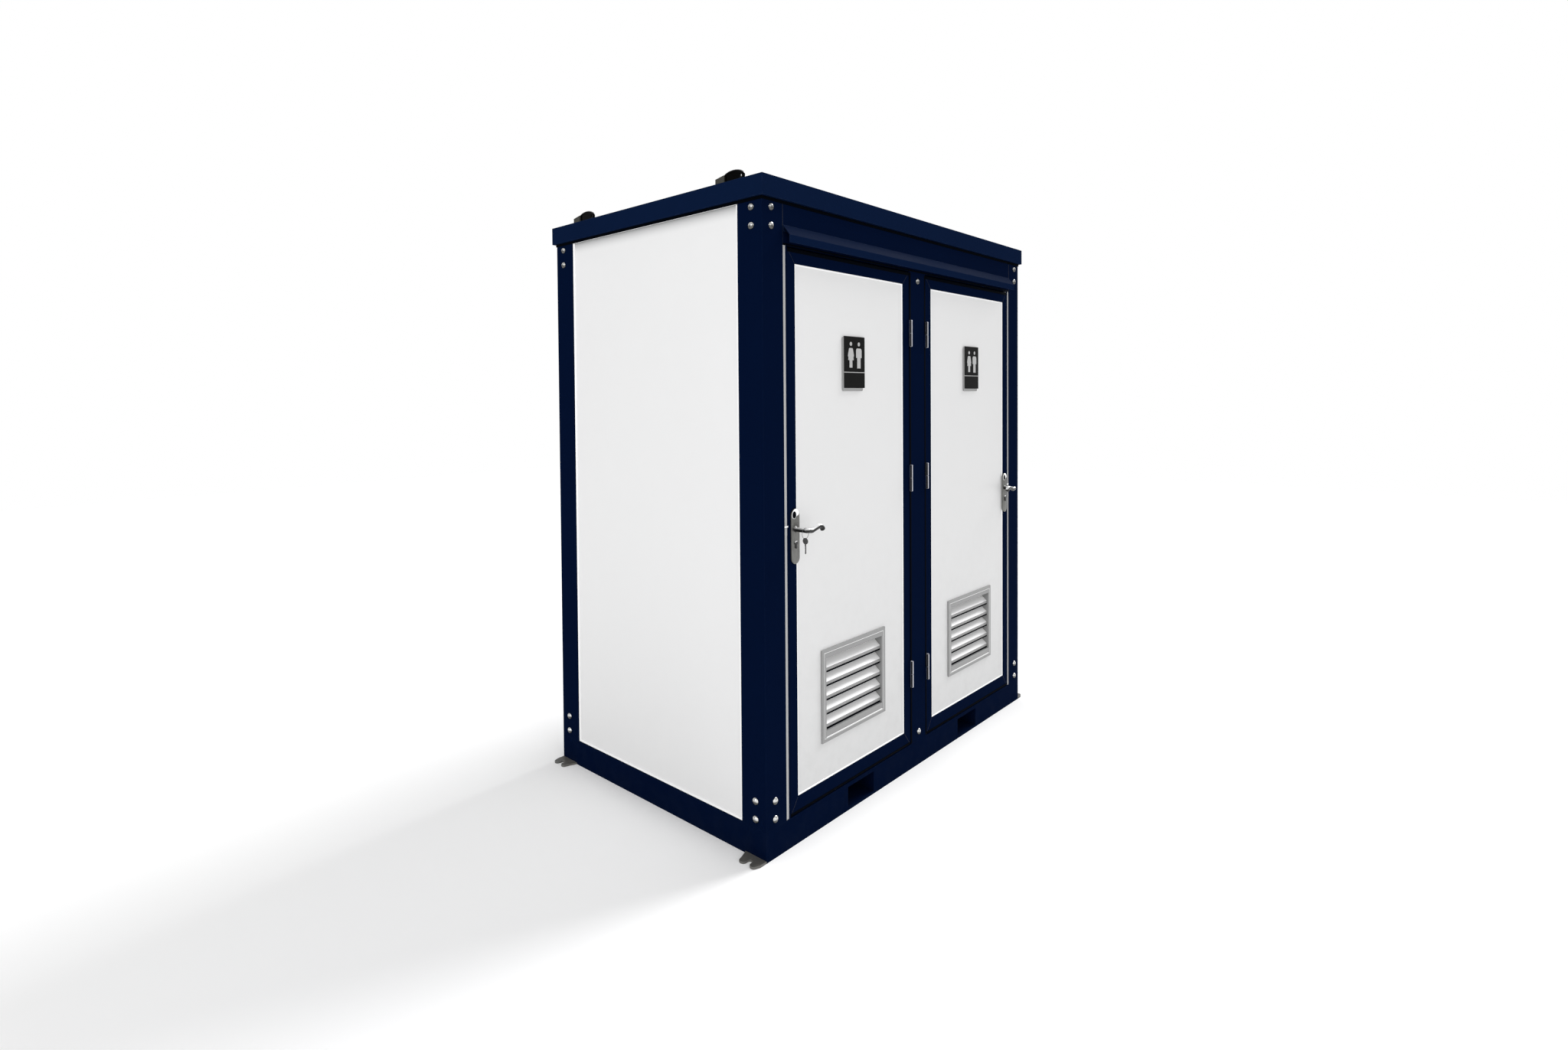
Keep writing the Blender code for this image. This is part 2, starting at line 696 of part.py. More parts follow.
def build_walls():
    """Posts, side walls, rear wall and the partition between the rooms."""
    foot = BASE_HEIGHT + GAP
    top = EAVES - GAP
    for side, word in ((-1, "left"), (1, "right")):
        corner_post("corner_post_front_" + word, side, -1)
        corner_post("corner_post_rear_" + word, side, 1)
        wall_panel("side_panel_" + word, (side * (HALF_WIDTH - PANEL_RECESS), -BETWEEN_POSTS_Y, foot),
                   (side * SIDE_WALL_FACE, BETWEEN_POSTS_Y, top))
    wall_panel("rear_panel", (-BETWEEN_POSTS_X, HALF_DEPTH - PANEL_RECESS, foot),
               (BETWEEN_POSTS_X, REAR_WALL_FACE, top))
    wall_panel("partition_panel", (-PARTITION_THICKNESS / 2, FRAME_BACK + GAP, FLOOR_TOP + GAP),
               (PARTITION_THICKNESS / 2, REAR_WALL_FACE - GAP, top))


# Roof

def roof_frame():
    """A ring of deep channel with the fascia outside, open inwards, with four spigots for the posts."""
    outer_x = HALF_WIDTH + OVERHANG
    outer_y = HALF_DEPTH + OVERHANG
    ring = box("roof_frame", (-outer_x, -outer_y, EAVES), (outer_x, outer_y, HEIGHT))
    steps = (("channel", ROOF_WALL, EAVES + ROOF_WALL, HEIGHT - ROOF_WALL),
             ("top_opening", TOP_FLANGE, EAVES + ROOF_WALL, HEIGHT + PAST),
             ("foot_opening", FOOT_FLANGE, EAVES - PAST, HEIGHT + PAST))
    for word, inset, low, high in steps:
        cut(ring, box("roof_" + word, (inset - outer_x, inset - outer_y, low),
                      (outer_x - inset, outer_y - inset, high)))
    for side in (-1, 1):
        for end in (-1, 1):
            edge_x = HALF_WIDTH - POST_WALL - GAP
            edge_y = HALF_DEPTH - POST_WALL - GAP
            far_x = HALF_WIDTH - POST_SIZE + POST_WALL + GAP
            far_y = HALF_DEPTH - POST_SIZE + POST_WALL + GAP
            foot = EAVES - SPIGOT_HEIGHT
            fuse(ring, box(f"roof_spigot_{side}_{end}", (side * edge_x, end * edge_y, foot),
                           (side * far_x, end * far_y, EAVES + ROOF_WALL / 2)))
            cut(ring, box(f"roof_spigot_bore_{side}_{end}",
                          (side * (edge_x - SPIGOT_WALL), end * (edge_y - SPIGOT_WALL), foot - PAST),
                          (side * (far_x + SPIGOT_WALL), end * (far_y + SPIGOT_WALL), EAVES - GAP)))
    return part(ring, "navy_steel")


def roof_panel():
    """The roof's two skins, the upper one ribbed, let into the roof frame and open at front and rear."""
    half = HALF_WIDTH + OVERHANG - TOP_FLANGE - GAP
    length = 2 * (HALF_DEPTH + OVERHANG - TOP_FLANGE - GAP)
    low = EAVES + ROOF_WALL + GAP
    flat = HEIGHT - ROOF_PANEL_DROP
    loop = [(-half, low), (half, low), (half, flat)]
    for i in reversed(range(RIB_COUNT)):
        centre = (i - (RIB_COUNT - 1) / 2) * RIB_PITCH
        loop += [(centre + RIB_FOOT / 2, flat), (centre + RIB_TOP / 2, flat + RIB_HEIGHT)]
        loop += [(centre - RIB_TOP / 2, flat + RIB_HEIGHT), (centre - RIB_FOOT / 2, flat)]
    loop += [(-half, flat)]
    panel = outline("roof_panel", [loop], length, "Y", (0, 0, 0))
    cut(panel, box("roof_panel_core", (PANEL_SKIN - half, -length / 2 - PAST, low + PANEL_SKIN),
                   (half - PANEL_SKIN, length / 2 + PAST, flat - PANEL_SKIN)))
    return part(panel, "roof_white")


def lifting_eye(name, side, end):
    """A low oval eye of round bar on a foot plate, part filled by a web, with a weld-on block behind it.

    Points are counted along Y from the middle of the ring, towards the rear, and up from the plate's top.
    """
    x = side * (HALF_WIDTH - EYE_INSET_X)
    ring_y = end * (HALF_DEPTH - EYE_INSET_Y)
    width, length, thick = EYE_BASE
    low = ring_y - EYE_RING_FROM_BASE_END
    foot = HEIGHT + GAP
    top = foot + thick
    plate = box(name, (x - width / 2, low, foot), (x + width / 2, low + length, top))
    along, up = EYE_RING
    circle = [(x, ring_y + along * math.cos(a), top + EYE_RING_RISE + up * math.sin(a))
              for a in (math.tau * i / 24 for i in range(24))]
    fuse(plate, ring_tube(name + "_ring", circle, EYE_WIRE))
    start = math.acos(-EYE_WEB_START / along)
    web = [(along * math.cos(a), EYE_RING_RISE + up * math.sin(a)) for a in (start * i / 8 for i in range(9))]
    web += [(-EYE_WEB_START, -thick / 2), (along, -thick / 2)]
    back = length - EYE_RING_FROM_BASE_END - EYE_BLOCK_END
    near = back - EYE_BLOCK_LENGTH
    block = [(near, -thick / 2), (near, EYE_BLOCK_HEIGHTS[0])]
    block += [(back, EYE_BLOCK_HEIGHTS[1]), (back, -thick / 2)]
    for word, points, across in (("web", web, EYE_WEB_THICKNESS), ("block", block, EYE_BLOCK_THICKNESS)):
        loop = [(ring_y + y, top + z) for y, z in points]
        fuse(plate, outline(f"{name}_{word}", [loop], across, "X", (x, 0, 0)))
    return part(plate, "black_steel")


def ring_tube(name, points, radius):
    """A closed ring of round bar through points."""
    curve = bpy.data.curves.new(name, "CURVE")
    curve.dimensions = "3D"
    curve.bevel_depth = radius
    curve.bevel_resolution = 2
    spline = curve.splines.new("POLY")
    spline.points.add(len(points) - 1)
    for point, where in zip(spline.points, points):
        point.co = (*where, 1.0)
    spline.use_cyclic_u = True
    item = as_closed_mesh(bpy.data.objects.new(name, curve))
    shade_round(item, 60)
    return item


def build_roof():
    """The roof frame, its panel and four lifting eyes."""
    roof_frame()
    roof_panel()
    for side, word in ((-1, "left"), (1, "right")):
        lifting_eye("lifting_eye_front_" + word, side, -1)
        lifting_eye("lifting_eye_rear_" + word, side, 1)


# Front frame round the doors

def hinge_half(name, side, low, high, direction, face, bore):
    """One half of a weld-on hinge: a barrel with a flap that lies on a face.

    Direction is +1 where the flap runs away from the mullion and -1 where it lies on the mullion.
    """
    centre = (side * HINGE_X, HINGE_Y)
    heading = side * direction
    rise = HINGE_RADIUS + HINGE_BARREL_GAP - HINGE_FLAP_THICKNESS
    back = face - HINGE_Y
    loop = arc((0.0, 0.0), HINGE_RADIUS, math.degrees(math.asin(rise / HINGE_RADIUS)), HINGE_ROLL_END, 14)
    loop += [(0.0, back), (HINGE_FLAP_WIDTH, back), (HINGE_FLAP_WIDTH, rise)]
    loops = [[(centre[0] + heading * across, centre[1] + up) for across, up in loop]]
    if bore:
        loops.append(ellipse(bore, bore, 12, centre))
    return outline(name, loops, high - low, "Z", (0, 0, (low + high) / 2))


def door_mullion():
    """The centre post, with the lower halves and the pins of both doors' hinges welded on."""
    half = MULLION_WIDTH / 2
    foot = BASE_HEIGHT + GAP
    top = LINTEL_FOOT - GAP
    mullion = box("door_mullion", (-half, FRONT, foot), (half, FRAME_BACK, top))
    cut(mullion, box("mullion_bore", (FRAME_WALL - half, FRONT + FRAME_WALL, foot - PAST),
                     (half - FRAME_WALL, FRAME_BACK - FRAME_WALL, top + PAST)))
    for side, word in ((-1, "left"), (1, "right")):
        for number, height in enumerate(HINGE_HEIGHTS):
            low = height - HINGE_LENGTH / 2
            split = height - HINGE_SPLIT / 2
            pin_top = height + HINGE_LENGTH / 2 - PIN_SHORT
            tag = f"hinge_{word}_{number}"
            fuse(mullion, hinge_half(tag + "_fixed", side, low, split, -1, FRONT + FRAME_WALL / 2, None))
            fuse(mullion, rod(tag + "_pin", (side * HINGE_X, HINGE_Y, height - PIN_FOOT),
                              (side * HINGE_X, HINGE_Y, pin_top), PIN_RADIUS, 12))
    for number, z in enumerate((BASE_HEIGHT + BOLT_FROM_MULLION_END, LINTEL_FOOT - BOLT_FROM_MULLION_END)):
        fuse(mullion, bolt_head(f"mullion_bolt_{number}", (0, FRONT, z), (0, -1, 0)))
    return part(mullion, "navy_steel")


def lintel_beam():
    """A box section over the doors, between the front posts."""
    reach = BETWEEN_POSTS_X
    top = EAVES - GAP
    beam = box("lintel_beam", (-reach, FRONT, LINTEL_FOOT), (reach, FRAME_BACK, top))
    cut(beam, box("lintel_bore", (-reach - PAST, FRONT + FRAME_WALL, LINTEL_FOOT + FRAME_WALL),
                  (reach + PAST, FRAME_BACK - FRAME_WALL, top - FRAME_WALL)))
    return part(beam, "navy_steel")


def rain_hood():
    """A folded sheet on the lintel: a flange, a sloping top and a hanging lip."""
    back = FRONT - GAP
    out = FRONT - HOOD_REACH
    top = EAVES - HOOD_TOP
    fold = EAVES - HOOD_FOLD
    foot = EAVES - HOOD_FOOT
    slope = math.atan2(top - fold, back - out)
    inner_top = top - HOOD_SHEET / math.cos(slope) - HOOD_SHEET * math.tan(slope)
    inner_fold = fold - HOOD_SHEET * math.tan((math.pi / 2 - slope) / 2)
    flange_foot = top - HOOD_FLANGE
    loop = [(back, top), (out, fold), (out, foot), (out + HOOD_SHEET, foot), (out + HOOD_SHEET, inner_fold)]
    loop += [(back - HOOD_SHEET, inner_top), (back - HOOD_SHEET, flange_foot), (back, flange_foot)]
    length = 2 * (BETWEEN_POSTS_X - HOOD_END_CLEARANCE)
    return part(outline("rain_hood", [loop], length, "X", (0, 0, 0)), "navy_steel")


def jamb_strip(name, side):
    """The pale strip between post and leaf, with a door stop behind and a notch for the latch."""
    outer = BETWEEN_POSTS_X
    inner = BETWEEN_POSTS_X - STRIP_WIDTH
    foot = BASE_HEIGHT + GAP
    top = LINTEL_FOOT - GAP
    strip = box(name, (side * outer, FRONT + STRIP_RECESS, foot), (side * inner, FRAME_BACK, top))
    fuse(strip, box(name + "_stop", (side * (inner + STRIP_WIDTH / 2), LEAF_BACK + SEAL_GAP, foot),
                    (side * (inner - STOP_WIDTH), FRAME_BACK, top)))
    deep = LEAF_OUTER + LATCH_THROW + NOTCH_CLEARANCE
    half = LATCH_SIZE[2] / 2 + NOTCH_CLEARANCE / 2
    cut(strip, box(name + "_notch", (side * (inner - PAST), FRONT - PAST, PIVOT_HEIGHT - half),
                   (side * deep, LEAF_BACK, PIVOT_HEIGHT + half)))
    return part(strip, "light_strip")


def build_front_frame():
    """Mullion, lintel, hood and jamb strips."""
    door_mullion()
    lintel_beam()
    rain_hood()
    jamb_strip("jamb_strip_left", -1)
    jamb_strip("jamb_strip_right", 1)


# Doors

def latch_pocket(name, side):
    """The mortice that the latch slides in, from the leaf's edge inwards."""
    length, thick, high = LATCH_SIZE
    inner = LEAF_OUTER - (length - LATCH_THROW) - LATCH_THROW - 2 * LATCH_CLEARANCE
    middle = (PANEL_FRONT + PANEL_BACK) / 2
    half_y = thick / 2 + LATCH_CLEARANCE
    half_z = high / 2 + LATCH_CLEARANCE
    return box(name, (side * inner, middle - half_y, PIVOT_HEIGHT - half_z),
               (side * (LEAF_OUTER + PAST), middle + half_y, PIVOT_HEIGHT + half_z))


def spindle_hole(name, side, front, back):
    """The bore that the levers' spindle passes through."""
    x = side * HANDLE_X
    return rod(name, (x, front - PAST, PIVOT_HEIGHT), (x, back + PAST, PIVOT_HEIGHT),
               SPINDLE_RADIUS + SPINDLE_CLEARANCE, 16)


def leaf_frame(name, side):
    """The door's folded frame, which grips the panel's edge, with the upper halves of its hinges."""
    leaf = box(name, (side * LEAF_INNER, LEAF_FRONT, LEAF_FOOT), (side * LEAF_OUTER, LEAF_BACK, LEAF_TOP))
    cut(leaf, box(name + "_window",
                  (side * (LEAF_INNER + HINGE_STILE), LEAF_FRONT - PAST, LEAF_FOOT + FOOT_RAIL),
                  (side * (LEAF_OUTER - LOCK_STILE), LEAF_BACK + PAST, LEAF_TOP - TOP_RAIL)))
    cut(leaf, box(name + "_groove",
                  (side * (LEAF_INNER + LEAF_WALL), LEAF_FRONT + LEAF_WALL, LEAF_FOOT + LEAF_WALL),
                  (side * (LEAF_OUTER - LEAF_WALL), LEAF_BACK - LEAF_WALL, LEAF_TOP - LEAF_WALL)))
    cut(leaf, spindle_hole(name + "_spindle_hole", side, LEAF_FRONT, LEAF_BACK))
    cut(leaf, latch_pocket(name + "_latch_hole", side))
    for number, height in enumerate(HINGE_HEIGHTS):
        low = height + HINGE_SPLIT / 2
        fuse(leaf, hinge_half(f"{name}_hinge_{number}", side, low, height + HINGE_LENGTH / 2, 1,
                              LEAF_FRONT + LEAF_WALL / 2, PIN_RADIUS + PIN_CLEARANCE))
    return part(leaf, "navy_steel")


def door_panel(name, side):
    """The white panel in the leaf, with a window for the vent, the latch's mortice and the spindle's bore.

    It is hollow above the vent, and its core opens at the top, inside the leaf's groove.
    """
    inset = LEAF_WALL + GAP
    panel = box(name, (side * (LEAF_INNER + inset), PANEL_FRONT, LEAF_FOOT + inset),
                (side * (LEAF_OUTER - inset), PANEL_BACK, LEAF_TOP - inset))
    half_x = VENT_OPENING[0] / 2 + VENT_WALL + GAP
    half_z = VENT_OPENING[1] / 2 + VENT_WALL + GAP
    x = side * VENT_CENTRE[0]
    z = VENT_CENTRE[1] + VENT_OPENING_RISE
    cut(panel, box(name + "_vent_window", (x - half_x, PANEL_FRONT - PAST, z - half_z),
                   (x + half_x, PANEL_BACK + PAST, z + half_z)))
    cut(panel, box(name + "_core",
                   (side * (LEAF_INNER + inset + DOOR_PANEL_EDGE), PANEL_FRONT + PANEL_SKIN,
                    z + half_z + DOOR_PANEL_EDGE),
                   (side * (LEAF_OUTER - LOCK_BLOCK_WIDTH), PANEL_BACK - PANEL_SKIN, LEAF_TOP + PAST)))
    cut(panel, spindle_hole(name + "_spindle_hole", side, PANEL_FRONT, PANEL_BACK))
    cut(panel, latch_pocket(name + "_latch_pocket", side))
    return part(panel, "white_panel")


def louvre_vent(name, side):
    """A flange on the door's face, a sleeve through the panel and lipped slats that shed rain outwards."""
    x = side * VENT_CENTRE[0]
    z = VENT_CENTRE[1]
    middle = z + VENT_OPENING_RISE
    face = PANEL_FRONT - GAP
    front = face - VENT_FLANGE_THICKNESS
    vent = box(name, (x - VENT_FLANGE[0] / 2, front, z - VENT_FLANGE[1] / 2),
               (x + VENT_FLANGE[0] / 2, face, z + VENT_FLANGE[1] / 2))
    half_x = VENT_OPENING[0] / 2
    half_z = VENT_OPENING[1] / 2
    fuse(vent, box(name + "_sleeve", (x - half_x - VENT_WALL, face - VENT_FLANGE_THICKNESS / 2,
                                      middle - half_z - VENT_WALL),
                   (x + half_x + VENT_WALL, PANEL_BACK, middle + half_z + VENT_WALL)))
    cut(vent, box(name + "_opening", (x - half_x, front - PAST, middle - half_z),
                  (x + half_x, PANEL_BACK + PAST, middle + half_z)))
    pitch = (VENT_OPENING[1] - SLAT_FOOT_GAP) / SLAT_COUNT
    near = front + SLAT_RECESS
    far = near + SLAT_DEPTH * math.cos(SLAT_TILT)
    rise = SLAT_DEPTH * math.sin(SLAT_TILT)
    upright = SLAT_THICKNESS / math.cos(SLAT_TILT)
    crook = SLAT_LIP - upright + SLAT_THICKNESS * math.tan(SLAT_TILT)
    for number in range(SLAT_COUNT):
        foot = middle - half_z + SLAT_FOOT_GAP + number * pitch
        loop = [(near, foot), (near, foot + SLAT_LIP), (far, foot + SLAT_LIP + rise)]
        loop += [(far, foot + SLAT_LIP + rise - upright), (near + SLAT_THICKNESS, foot + crook)]
        loop += [(near + SLAT_THICKNESS, foot)]
        fuse(vent, outline(f"{name}_slat_{number}", [loop], VENT_OPENING[0] + VENT_WALL, "X", (x, 0, 0)))
    return part(vent, "grey_grille")


def sign_plate(name, side):
    """A plain plate with round corners on the door's face."""
    place = (side * SIGN_CENTRE[0], PANEL_FRONT - GAP - SIGN_THICKNESS / 2, SIGN_CENTRE[1])
    loop = rounded_rectangle(*SIGN_SIZE, SIGN_CORNER)
    return part(outline(name, [loop], SIGN_THICKNESS, "Y", place), "black_plate")


def lock_nose(name, x, z, start, end):
    """The end of a profile cylinder between two depths: a round barrel over a narrower tail."""
    tail = LOCK_NOSE_TAIL / 2
    meeting = math.degrees(math.asin(tail / LOCK_NOSE_RADIUS))
    loop = arc((0.0, 0.0), LOCK_NOSE_RADIUS, meeting - 90, 270 - meeting, 12)
    loop += arc((0.0, LOCK_NOSE_RADIUS + tail - LOCK_NOSE_HEIGHT), tail, 180, 360, 6)
    return outline(name, [loop], abs(end - start), "Y", (x, (start + end) / 2, z))


def handle_plate(name, side, face, outward):
    """A long plate with round ends, a bored boss at its top and a lock nose under the lever.

    Outward is -1 on the leaf's front face and +1 on its back face.
    """
    x = side * HANDLE_X
    middle_y = face + outward * (GAP + PLATE_THICKNESS / 2)
    skin = face + outward * (GAP + PLATE_THICKNESS)
    centre_z = PIVOT_HEIGHT - PLATE_CENTRE_DROP
    loop = rounded_rectangle(*PLATE_SIZE, (PLATE_SIZE[0] - PLATE_END_FLAT) / 2, 7)
    hole = ellipse(SPINDLE_RADIUS + SPINDLE_CLEARANCE, SPINDLE_RADIUS + SPINDLE_CLEARANCE, 16,
                   (0.0, PLATE_CENTRE_DROP))
    plate = outline(name, [loop, hole], PLATE_THICKNESS, "Y", (x, middle_y, centre_z))
    boss_z = PIVOT_HEIGHT + BOSS_RISE - BOSS_RADIUS
    nose_z = PIVOT_HEIGHT - KEYWAY_DROP
    fuse(plate, rod(name + "_boss", (x, middle_y, boss_z), (x, skin + outward * BOSS_REACH, boss_z),
                    BOSS_RADIUS, 20))
    fuse(plate, lock_nose(name + "_lock_nose", x, nose_z, middle_y, skin + outward * LOCK_NOSE_REACH))
    cut(plate, rod(name + "_boss_hole", (x, skin, boss_z), (x, skin + outward * (BOSS_REACH + PAST), boss_z),
                   BOSS_HOLE_RADIUS, 14))
    return part(plate, "stainless")


def lever_path(direction, skin):
    """Points and radii of one lever, from its tip to the end of its neck.

    Points are counted from the pivot: x towards the hinges, y outwards and z up. Direction is the sign of
    the outward side. The grip waves down and up along its length, the elbow is a quarter arc and the neck
    runs straight in to the plate.
    """
    points, radii = [], []
    for i in range(LEVER_STEPS + 1):
        share = 1 - i / LEVER_STEPS
        along = LEVER_BEND + (LEVER_LENGTH - LEVER_BEND) * share
        phase = max(0.0, (share - LEVER_TIP_SHARE) / (1 - LEVER_TIP_SHARE))
        points.append((along, LEVER_REACH, -LEVER_WAVE * math.sin(math.tau * phase)))
        flare = 1 + (LEVER_TIP_FLARE - 1) * share ** 3
        radii.append(NECK_RADIUS * flare * (LEVER_TIP_ROUND[i] if i < len(LEVER_TIP_ROUND) else 1.0))
    for i in range(1, 5):
        angle = math.radians(90 * i / 5)
        inset = LEVER_BEND * (1 - math.cos(angle))
        points.append((LEVER_BEND * (1 - math.sin(angle)), LEVER_REACH - inset, 0.0))
        radii.append(NECK_RADIUS)
    points += [(0.0, LEVER_REACH - LEVER_BEND, 0.0), (0.0, skin + GAP, 0.0), (0.0, skin + GAP / 3, 0.0)]
    radii += [NECK_RADIUS, NECK_RADIUS, SPINDLE_RADIUS]
    return [(x, direction * y, z) for x, y, z in points], radii


def lever_handle(name, side):
    """Outer and inner lever on one spindle, turned round together."""
    skin = GAP + PLATE_THICKNESS
    outer, outer_radii = lever_path(-1, skin)
    inner, inner_radii = lever_path(1, skin)
    path = [(x, LEAF_FRONT + y, z) for x, y, z in outer]
    path += [(x, LEAF_BACK + y, z) for x, y, z in reversed(inner)]
    pivot_y = (LEAF_FRONT + LEAF_BACK) / 2
    points = [(-side * x, y - pivot_y, z) for x, y, z in path]
    radii = outer_radii + inner_radii[::-1]
    return part(tube(name, points, radii, 4, (side * HANDLE_X, pivot_y, PIVOT_HEIGHT)), "chrome")


def latch_bolt(name, side):
    """The sprung latch in the leaf's edge, bevelled on its closing side."""
    length, thick, high = LATCH_SIZE
    middle = (PANEL_FRONT + PANEL_BACK) / 2
    tip = LEAF_OUTER + LATCH_THROW
    half = thick / 2
    loop = [(tip - length, -half), (tip - length, half), (tip - LATCH_BEVEL, half), (tip, 0.0), (tip, -half)]
    loop = [(side * x, middle + y) for x, y in loop]
    bolt = outline(name, [loop], high, "Z", (0, 0, PIVOT_HEIGHT))
    set_origin(bolt, (side * LEAF_OUTER, middle, PIVOT_HEIGHT))
    return part(bolt, "chrome")


def door_key():
    """A key hanging on a split ring from the neck of the left door's outer lever."""
    x = -HANDLE_X
    y = LEAF_FRONT - KEY_OUT
    ring_z = PIVOT_HEIGHT + NECK_RADIUS + GAP - (KEY_RING_RADIUS - KEY_RING_WIRE)
    circle = [(x + KEY_RING_RADIUS * math.cos(a), y, ring_z + KEY_RING_RADIUS * math.sin(a))
              for a in (math.tau * i / 24 for i in range(24))]
    ring = ring_tube("door_key", circle, KEY_RING_WIRE)
    set_origin(ring, (x, y, PIVOT_HEIGHT))
    hole_z = ring_z - KEY_RING_RADIUS - KEY_HOLE_RADIUS + KEY_RING_WIRE / 2
    bow_z = hole_z - (KEY_BOW_RADIUS - KEY_HOLE_RADIUS - KEY_EDGE / 2)
    half = KEY_BLADE_WIDTH / 2
    shoulder = math.degrees(math.asin(half / KEY_BOW_RADIUS))
    loop = arc((0.0, bow_z), KEY_BOW_RADIUS, -90 + shoulder, 270 - shoulder, 18)
    tip = bow_z - KEY_BOW_RADIUS - KEY_BLADE_LENGTH
    loop += [(-half, tip + half), (0.0, tip)]
    for i in range(KEY_TEETH):
        low = tip + half + i * KEY_TOOTH_PITCH
        loop += [(half, low), (half - KEY_TOOTH_DEPTH, low + KEY_TOOTH_PITCH / 2)]
    loop += [(half, tip + half + KEY_TEETH * KEY_TOOTH_PITCH)]
    flat = [(y + across, up) for across, up in loop]
    hole = ellipse(KEY_HOLE_RADIUS, KEY_HOLE_RADIUS, 12, (y, hole_z))
    fuse(ring, outline("door_key_blade", [flat, hole], KEY_THICKNESS, "X", (x, 0, 0)))
    return part(ring, "chrome")


def build_door(word, side):
    """One door with all that it carries."""
    leaf = leaf_frame("leaf_frame_" + word, side)
    panel = door_panel("door_panel_" + word, side)
    vent = louvre_vent("louvre_vent_" + word, side)
    sign = sign_plate("sign_plate_" + word, side)
    outer_plate = handle_plate("handle_plate_outer_" + word, side, LEAF_FRONT, -1)
    inner_plate = handle_plate("handle_plate_inner_" + word, side, LEAF_BACK, 1)
    lever = lever_handle("lever_handle_" + word, side)
    bolt = latch_bolt("latch_bolt_" + word, side)
    carried = [leaf, panel, vent, sign, outer_plate, inner_plate, lever, bolt]
    carry(f"door_{word}_hinge_line", (side * HINGE_X, HINGE_Y, 0), carried)
    return lever


def build_doors():
    """Both doors, and the key on the left one's lever."""
    left_lever = build_door("left", -1)
    build_door("right", 1)
    key = door_key()
    key.parent = left_lever
    key.matrix_parent_inverse = Matrix.Translation(-left_lever.location)
    bpy.context.view_layer.update()


# Toilet

def toilet_pan(name, x):
    """A close-coupled pan: an oval pedestal and bowl with a rear body and a shelf for the cistern."""
    top = RIM_TOP
    foot = FLOOR_TOP + GAP
    profile = BOWL_PROFILE + PAN_PROFILE + ((PAN_FOOT_RADIUS, foot - top), (0.0, foot - top))
    pan = turned(name, profile, (x, PAN_Y, top), 28, PAN_STRETCH)
    back = REAR_WALL_FACE - GAP
    fuse(pan, box(name + "_body", (x - PAN_BODY_WIDTH / 2, PAN_BODY_FRONT, foot),
                  (x + PAN_BODY_WIDTH / 2, back, top - PAN_SHELF_THICKNESS / 2)))
    shelf = box(name + "_shelf",
                (x - PAN_SHELF_WIDTH / 2, SEAT_HINGE_Y - PAN_SHELF_LEAD, top - PAN_SHELF_THICKNESS),
                (x + PAN_SHELF_WIDTH / 2, back, top))
    fuse(pan, soften(shelf, PAN_SHELF_ROUND))
    for spread in (-1, 1):
        centre = x + spread * SEAT_BLOCK_SPREAD
        wide, deep = SEAT_BLOCK
        block_back = SEAT_HINGE_Y - SEAT_THICKNESS / 2 - SEAT_BLOCK_CLEARANCE
        fuse(pan, box(f"{name}_block_{spread}", (centre - wide / 2, block_back - deep, top - SEAT_BLOCK_SINK),
                      (centre + wide / 2, block_back, SEAT_BOTTOM - 2 * GAP)))
    return part(pan, "ceramic")


def toilet_seat(name, x):
    """An open oval seat with its origin on its hinge line."""
    outer = ellipse(*SEAT_OUTER, 40)
    inner = ellipse(*SEAT_INNER, 32)
    seat = outline(name, [outer, inner], SEAT_THICKNESS, "Z", (x, PAN_Y, SEAT_HINGE_Z))
    set_origin(seat, (x, SEAT_HINGE_Y, SEAT_HINGE_Z))
    shade_round(seat)
    return part(seat, "white_plastic")


def cistern(name, x):
    """A hollow cistern with its outlet below and the flush button's bore in its lid."""
    wide, deep, high = CISTERN_SIZE
    foot = RIM_TOP + GAP
    back = REAR_WALL_FACE - GAP
    wall = CISTERN_WALL
    tank = box(name, (x - wide / 2, CISTERN_FRONT, foot), (x + wide / 2, back, foot + high))
    soften(tank, CISTERN_ROUND)
    cut(tank, box(name + "_hollow", (x - wide / 2 + wall, CISTERN_FRONT + wall, foot + wall),
                  (x + wide / 2 - wall, back - wall, foot + high - wall)))
    y = (CISTERN_FRONT + back) / 2
    cut(tank, rod(name + "_outlet", (x, y, foot - PAST), (x, y, foot + wall + PAST),
                  CISTERN_OUTLET_RADIUS, 16))
    cut(tank, rod(name + "_button_bore", (x, y, foot + high - wall - PAST), (x, y, foot + high + PAST),
                  FLUSH_RADIUS + FLUSH_CLEARANCE, 24))
    return part(tank, "ceramic")


def flush_button(name, x):
    """A round push button in the lid's bore."""
    top = RIM_TOP + GAP + CISTERN_SIZE[2] + FLUSH_PROUD + FLUSH_TRAVEL
    y = (CISTERN_FRONT + REAR_WALL_FACE - GAP) / 2
    button = soften(rod(name, (x, y, top - FLUSH_HEIGHT), (x, y, top), FLUSH_RADIUS, 24), FLUSH_EDGE, 1)
    return part(button, "chrome")


# Hand basin

